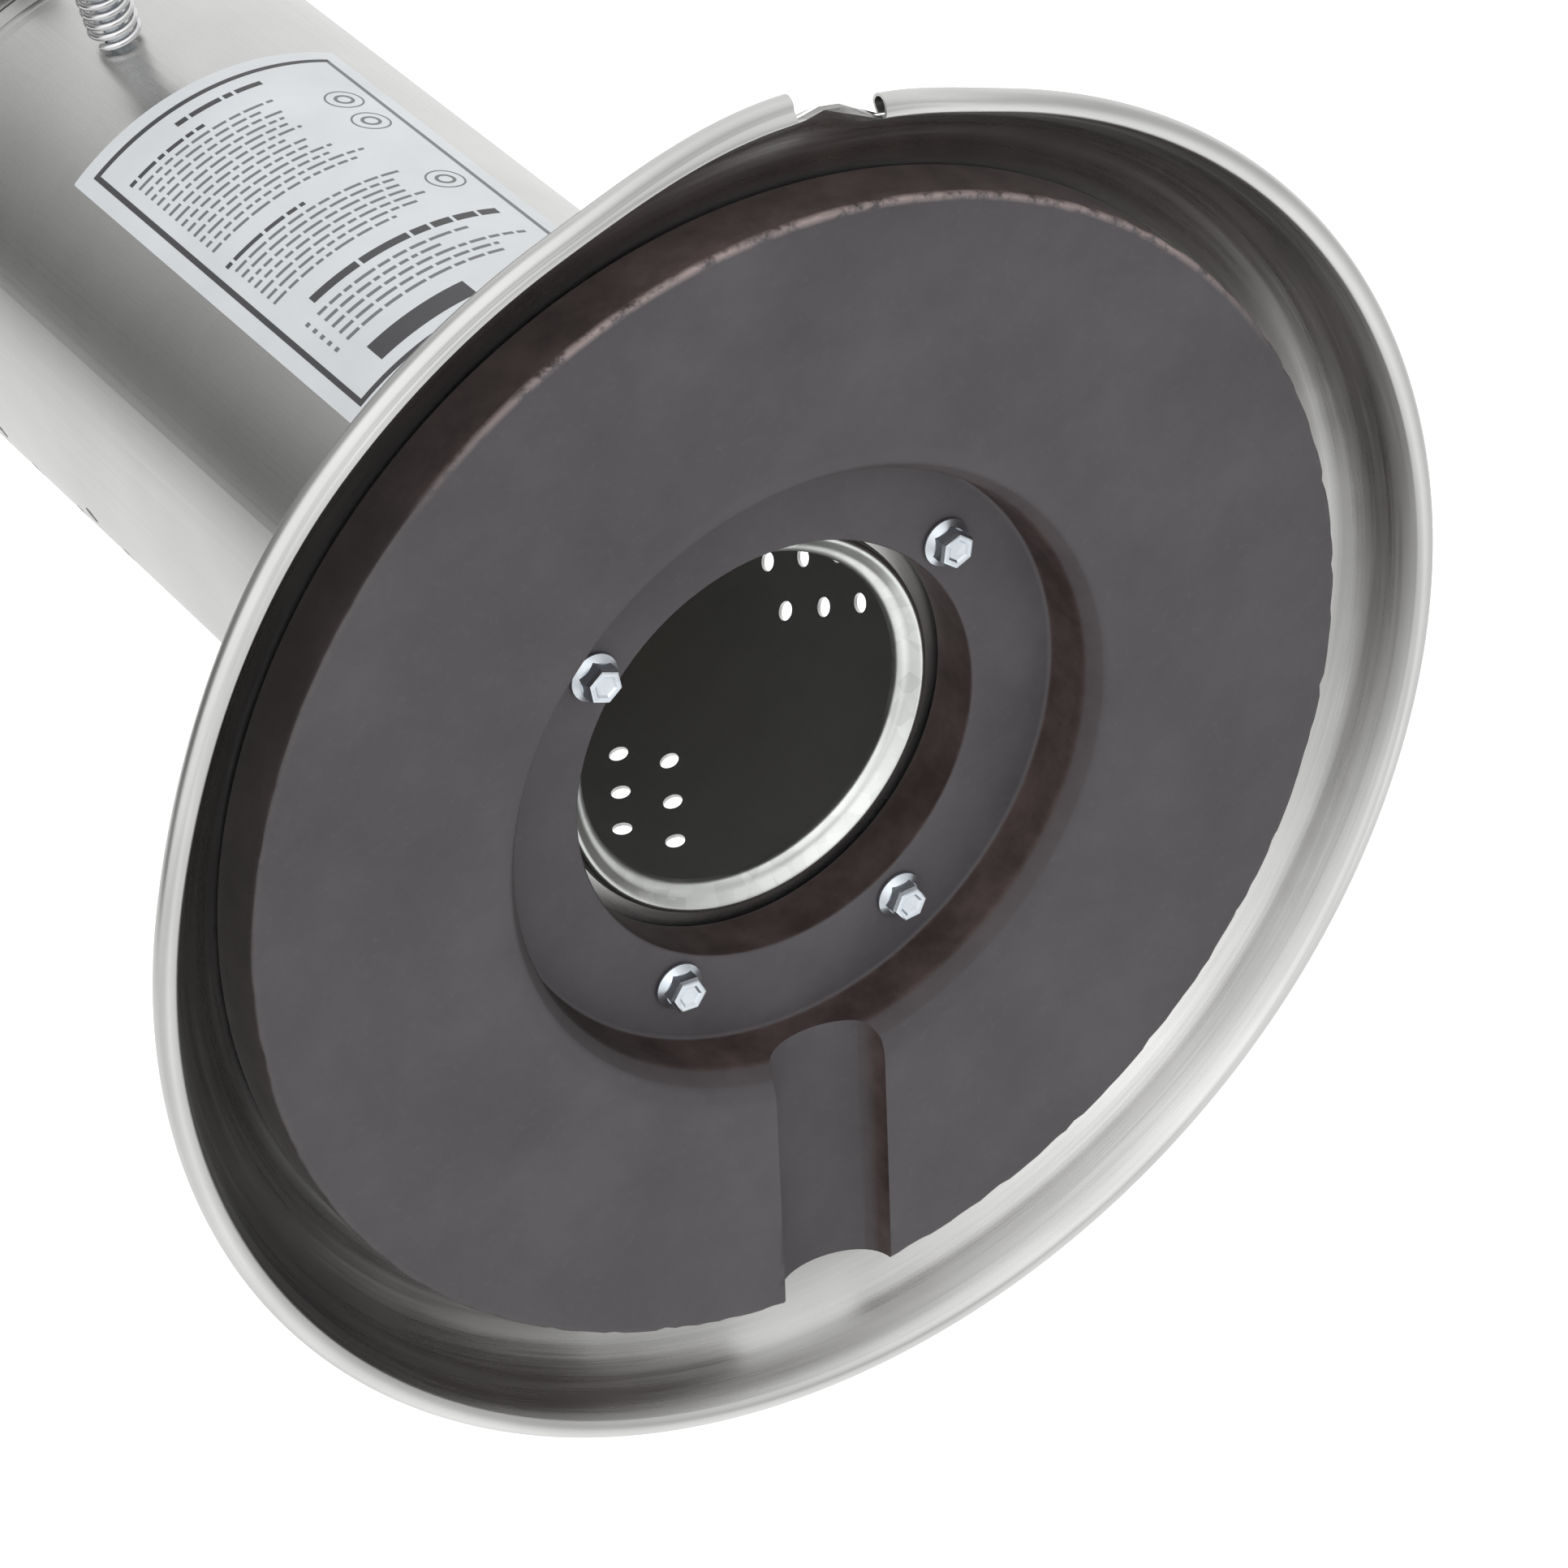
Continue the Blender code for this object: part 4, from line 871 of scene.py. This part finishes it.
def control_section():
    """The upper tube, the band where it meets the housing, the knob's bezel and its scale of dots."""
    high, low = 420.0, 334.0
    tube = turned("control_case", rounded([
        (CONTROL_R, low), (CONTROL_R, high), (CONTROL_R - 1.0, high), (CONTROL_R - 1.0, low),
    ], 0.3, 2), HOUSING, 144)
    tool = bmesh.new()
    rod(tool, 6.0, 16.0, Vector((0, -CONTROL_R * MM, CONTROL_Z * MM)), TOWARDS_FRONT)
    rod(tool, 9.3, 40.0, Vector((-42.0 * MM, -55.0 * MM, CONTROL_Z * MM)), TOWARDS_FRONT)
    cut(tube, tool)
    stands_for(tube, "heater", "stainless", "control_housing")

    band = turned("joint_band", rounded([
        (66.6, 330.3), (66.6, 333.7), (58.0, 333.7), (58.0, 330.3)], 0.6, 3), HEAD, 144)
    stands_for(band, "heater", "stainless", "housing_top_ring")

    bm = bmesh.new()
    wrapped_plate(bm, CONTROL_R + 0.3, 0.8, FRONT, CONTROL_Z - 30.0, CONTROL_Z + 30.0, 28.0 / CONTROL_R, 7.0)
    plate = finished(bm, "bezel_plate", DOOR)
    tool = bmesh.new()
    rod(tool, 6.2, 40.0, Vector((0, -CONTROL_R * MM, CONTROL_Z * MM)), TOWARDS_FRONT)
    cut(plate, tool)
    stands_for(plate, "heater", "stainless", "control_bezel")

    ticks = bmesh.new()
    for i in range(15):
        turn = math.radians(-105.0 + 15.0 * i)
        s, h = 25.4 * math.sin(turn), 25.4 * math.cos(turn)
        size = 0.9 if i % 7 == 0 else 0.5
        wrapped_plate(ticks, CONTROL_R + 1.1, 0.05, FRONT + s / CONTROL_R, CONTROL_Z + h - size,
                      CONTROL_Z + h + size, size / CONTROL_R, 0.3)
    stands_for(finished(ticks, "dial_dots", PRINT), "heater", "black_plastic")


def control_knob():
    """A skirted knob with a finger bar and a white pointer."""
    low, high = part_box("control_knob")
    back, front, radius = -high.y / MM, -low.y / MM, high.x / MM
    place = Matrix.Translation((0.0, 0.0, CONTROL_Z * MM)) @ TOWARDS_FRONT
    skirt = rounded([(4.3, back), (radius, back), (radius, back + 3.6), (radius - 2.6, back + 5.6),
                     (8.0, back + 6.4), (0.0, back + 6.4)], 1.2, 4, closed=False)
    bm = turned_mesh(skirt + [(0.0, back + 5.0), (4.3, back + 5.0)], 96)
    deep = front - back - 5.0
    grip = bmesh.new()
    bmesh.ops.create_cube(grip, size=1.0, matrix=Matrix.Translation((0, 0, (back + 5.0 + deep / 2) * MM))
                          @ Matrix.Diagonal((14.0 * MM, 2 * (radius - 3.2) * MM, deep * MM, 1.0)))
    tall = [e for e in grip.edges if abs(e.verts[0].co.z - e.verts[1].co.z) > 0.5 * deep * MM]
    bmesh.ops.bevel(grip, geom=tall, offset=5.0 * MM, segments=6, affect="EDGES", profile=0.5)
    rim = [e for e in grip.edges if min(v.co.z for v in e.verts) > (front - 0.5) * MM]
    bmesh.ops.bevel(grip, geom=rim, offset=1.4 * MM, segments=4, affect="EDGES", profile=0.5)
    merge(bm, grip)
    bmesh.ops.transform(bm, matrix=place, verts=bm.verts)
    stands_for(finished(bm, "valve_knob", BLACK, 40.0), "control_knob", "black_plastic", "control_knob")

    mark = bmesh.new()
    box(mark, (1.2, 0.12, 11.0), Vector((0, -(front - 0.05) * MM, (CONTROL_Z + 9.0) * MM)))
    stands_for(finished(mark, "knob_pointer", WHITE_MARK), "control_knob", "black_plastic")


def igniter():
    """The push button."""
    low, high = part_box("igniter_button")
    middle, front = (low + high) / 2 / MM, -low.y / MM
    place = Matrix.Translation((middle.x * MM, 0.0, middle.z * MM)) @ TOWARDS_FRONT
    back = -high.y / MM
    button = turned("igniter_cap", rounded([
        (0.0, back), (7.2, back), (7.2, front - 1.6), (5.6, front - 0.2), (0.0, front)],
        0.8, 3, closed=False), BLACK, 56, place)
    stands_for(button, "igniter_button", "black_plastic", "igniter_button")


# ---------------------------------------------------------------- burner and emitter

def perforated_tube(name, radius, wall, low, high, look, around=72, solid=8.0):
    """A tube of sheet with round holes in staggered rows between two solid bands."""
    pitch = math.tau * radius / around
    rows = int((high - low - 2 * solid) / pitch)
    solid = (high - low - rows * pitch) / 2
    hole, sides = 0.31 * pitch, 8
    bm = bmesh.new()

    def put(s, z):
        return bm.verts.new(polar(radius, s / radius, z))

    for row in range(rows):
        for column in range(around):
            s0 = (column + 0.5 * (row % 2)) * pitch
            z0 = low + solid + row * pitch
            half = pitch / 2
            frame_points = [(half, 0), (half, half), (0, half), (-half, half), (-half, 0), (-half, -half),
                            (0, -half), (half, -half)]
            outer = [put(s0 + half + x, z0 + half + y) for x, y in frame_points]
            inner = [put(s0 + half + hole * math.cos(math.tau * i / sides),
                         z0 + half + hole * math.sin(math.tau * i / sides)) for i in range(sides)]
            for i in range(sides):
                bm.faces.new((outer[i], outer[(i + 1) % sides], inner[(i + 1) % sides], inner[i]))
    for z0, z1, shift in ((low, low + solid, 0.0), (high - solid, high, 0.5 * ((rows - 1) % 2))):
        for column in range(2 * around):
            s0, s1 = [(column / 2 + shift + k / 2) * pitch for k in (0, 1)]
            bm.faces.new((put(s0, z0), put(s1, z0), put(s1, z1), put(s0, z1)))
    bmesh.ops.remove_doubles(bm, verts=bm.verts, dist=2e-5)
    bmesh.ops.recalc_face_normals(bm, faces=bm.faces)
    obj = finished(bm, name, look, 40.0)
    sheet = obj.modifiers.new("sheet", "SOLIDIFY")
    sheet.thickness, sheet.offset = wall * MM, -1.0
    return applied(obj)


def burner():
    """The bowl under the emitter, its perforated screen and its lid."""
    bowl_low, bowl_high, bowl_r = 420.3, 452.0, 86.0
    bowl = turned("burner_dish", thick(rounded([
        (20.0, bowl_low + 0.5), (CONTROL_R - 0.5, bowl_low + 0.5), (CONTROL_R + 8.5, 431.5),
        (bowl_r - 0.5, bowl_high - 8.0), (bowl_r - 0.5, bowl_high - 0.3)], 3.5, 5, closed=False), 0.95),
        HEAD, 160, smooth=40.0)
    stands_for(bowl, "heater", "stainless", "burner_bowl")
    screen = perforated_tube("emitter_mesh", EMITTER_R, 1.0, EMITTER_LOW, EMITTER_HIGH, EMITTER)
    stands_for(screen, "heater", "stainless", "emitter_screen")
    low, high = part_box("emitter_cap")
    seat, top, edge = low.z / MM, high.z / MM, high.x / MM
    cap = turned("emitter_lid", rounded([
        (0.0, top), (62.0, top), (edge - 1.2, top - 4.8), (edge, seat), (edge - 1.0, seat),
        (edge - 2.2, top - 6.0), (0.0, top - 6.0)], 1.5, 4, closed=False), EMITTER, 144, smooth=40.0)
    cut_ring_of_holes(cap, POST_CIRCLE_R, POST_ANGLES, POST_HOLE_R, 30.0, top)
    stands_for(cap, "heater", "stainless", "emitter_cap")


# ---------------------------------------------------------------- reflector

def reflector():
    """A shallow spun dome with a flat crown and a turned-down rim, and the round plate on the crown."""
    drop = REFLECTOR_TOP_Z - REFLECTOR_RIM_Z
    line = [(14.0, REFLECTOR_TOP_Z), (REFLECTOR_FLAT_R, REFLECTOR_TOP_Z)]
    steps = 40
    for i in range(1, steps + 1):
        share = i / steps
        r = REFLECTOR_FLAT_R + (REFLECTOR_R - 4.0 - REFLECTOR_FLAT_R) * share
        line.append((r, REFLECTOR_TOP_Z - drop * share ** 1.35))
    line += arc((REFLECTOR_R - 4.4, REFLECTOR_RIM_Z - 3.4), 3.9, 55.0, 0.0, 5)[1:]
    line.append((REFLECTOR_R - 0.5, REFLECTOR_RIM_Z - 4.7))
    dome = turned("reflector_dome", thick(line, 0.9), DOME, 240, smooth=40.0)
    cut_ring_of_holes(dome, POST_CIRCLE_R, POST_ANGLES, POST_HOLE_R, 30.0, REFLECTOR_TOP_Z)
    stands_for(dome, "heater", "stainless", "reflector")
    low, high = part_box("reflector_hub")
    seat, top = low.z / MM, high.z / MM
    outline = rounded([(0.0, top), (60.0, top), (60.0, seat), (0.0, seat)], 0.7, 3, closed=False)
    hub = turned("crown_plate", outline, HEAD, 120)
    cut_ring_of_holes(hub, POST_CIRCLE_R, POST_ANGLES, POST_HOLE_R, 30.0, REFLECTOR_TOP_Z)
    stands_for(hub, "heater", "stainless", "reflector_hub")


def wing_nut(number, angle, low):
    """A pressed wing nut with two raised wings."""
    bm = turned_mesh(rounded([
        (POST_HOLE_R, low), (6.0, low), (4.7, low + 8.8), (POST_HOLE_R, low + 8.8)], 0.8, 3), 40)
    for side in (-1, 1):
        wing = bmesh.new()
        bmesh.ops.create_uvsphere(wing, u_segments=24, v_segments=12, radius=1.0)
        bmesh.ops.scale(wing, vec=(6.0 * MM, 0.9 * MM, 5.8 * MM), verts=wing.verts)
        bmesh.ops.translate(wing, vec=(side * 9.4 * MM, 0, (low + 8.9) * MM), verts=wing.verts)
        merge(bm, wing)
    spin = Matrix.Translation(polar(POST_CIRCLE_R, math.radians(angle))) @ Matrix.Rotation(
        math.radians(angle + 90.0), 4, "Z")
    bmesh.ops.transform(bm, matrix=spin, verts=bm.verts)
    obj = finished(bm, f"winged_nut_{number}", BOLT_ZINC, 40.0)
    stands_for(obj, "heater", "zinc", f"wing_nut_{number}")


def posts():
    """The three posts that carry the reflector, with their spacers and wing nuts."""
    for number, angle in enumerate(POST_ANGLES, 1):
        low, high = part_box(f"reflector_post_{number}")
        spacer_low, spacer_high = [p.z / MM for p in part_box(f"post_spacer_{number}")]
        place = Matrix.Translation(polar(POST_CIRCLE_R, math.radians(angle)))
        foot, top = low.z / MM, high.z / MM
        post = turned(f"reflector_stay_{number}", rounded([
            (0.0, top), (2.9, top), (2.9, spacer_low - 0.3), (4.5, spacer_low - 0.3), (4.5, foot + 16.0),
            (2.9, foot + 16.0), (2.9, foot), (0.0, foot)], 0.4, 2, closed=False), HEAD, 40, place)
        stands_for(post, "heater", "stainless", f"reflector_post_{number}")
        spacer = turned(f"stay_spacer_{number}", rounded([
            (POST_HOLE_R, spacer_low), (9.0, spacer_low), (9.0, spacer_high), (POST_HOLE_R, spacer_high)],
            0.6, 3), BOLT_ZINC, 48, place)
        stands_for(spacer, "heater", "zinc", f"post_spacer_{number}")
        wing_nut(number, angle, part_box(f"wing_nut_{number}")[0].z / MM)


# ---------------------------------------------------------------- carried-over pieces

CARRIED = {
    BOLT_ZINC: ("base_nut_1", "base_nut_2", "base_nut_3", "base_nut_4", "door_hook_left", "door_hook_right",
                "door_handle_spindle", "door_handle_washer", "door_latch_tongue"),
    RING_ZINC: ("valve_bracket",),
    BRASS: ("gas_valve", "gas_pipe", "gas_inlet_fitting", "injector", "valve_stem", "thermocouple"),
    BLACK: ("igniter_body", "tilt_switch"),
    CERAMIC: ("spark_electrode",),
    HEAD: ("burner_tube", "burner_head"),
}


def dress_carried_over():
    """Gives each CAD node that is shown as it is its look."""
    for look, names in CARRIED.items():
        for name in names:
            slots = nodes[name].data.materials
            slots.clear()
            slots.append(look)


def main():
    make_camera()
    make_world()
    make_floor()
    SCENE.view_settings.view_transform = "Standard"
    base_shell()
    base_weight()
    for number, (angle, turn) in enumerate(zip(BOLT_ANGLES, BOLT_TURNS), 1):
        flange_bolt(number, angle, math.radians(turn))
    bottom_ring()
    lower_housing()
    door_plate()
    instruction_plate()
    door_handle()
    control_section()
    control_knob()
    igniter()
    burner()
    reflector()
    posts()
    dress_carried_over()


main()
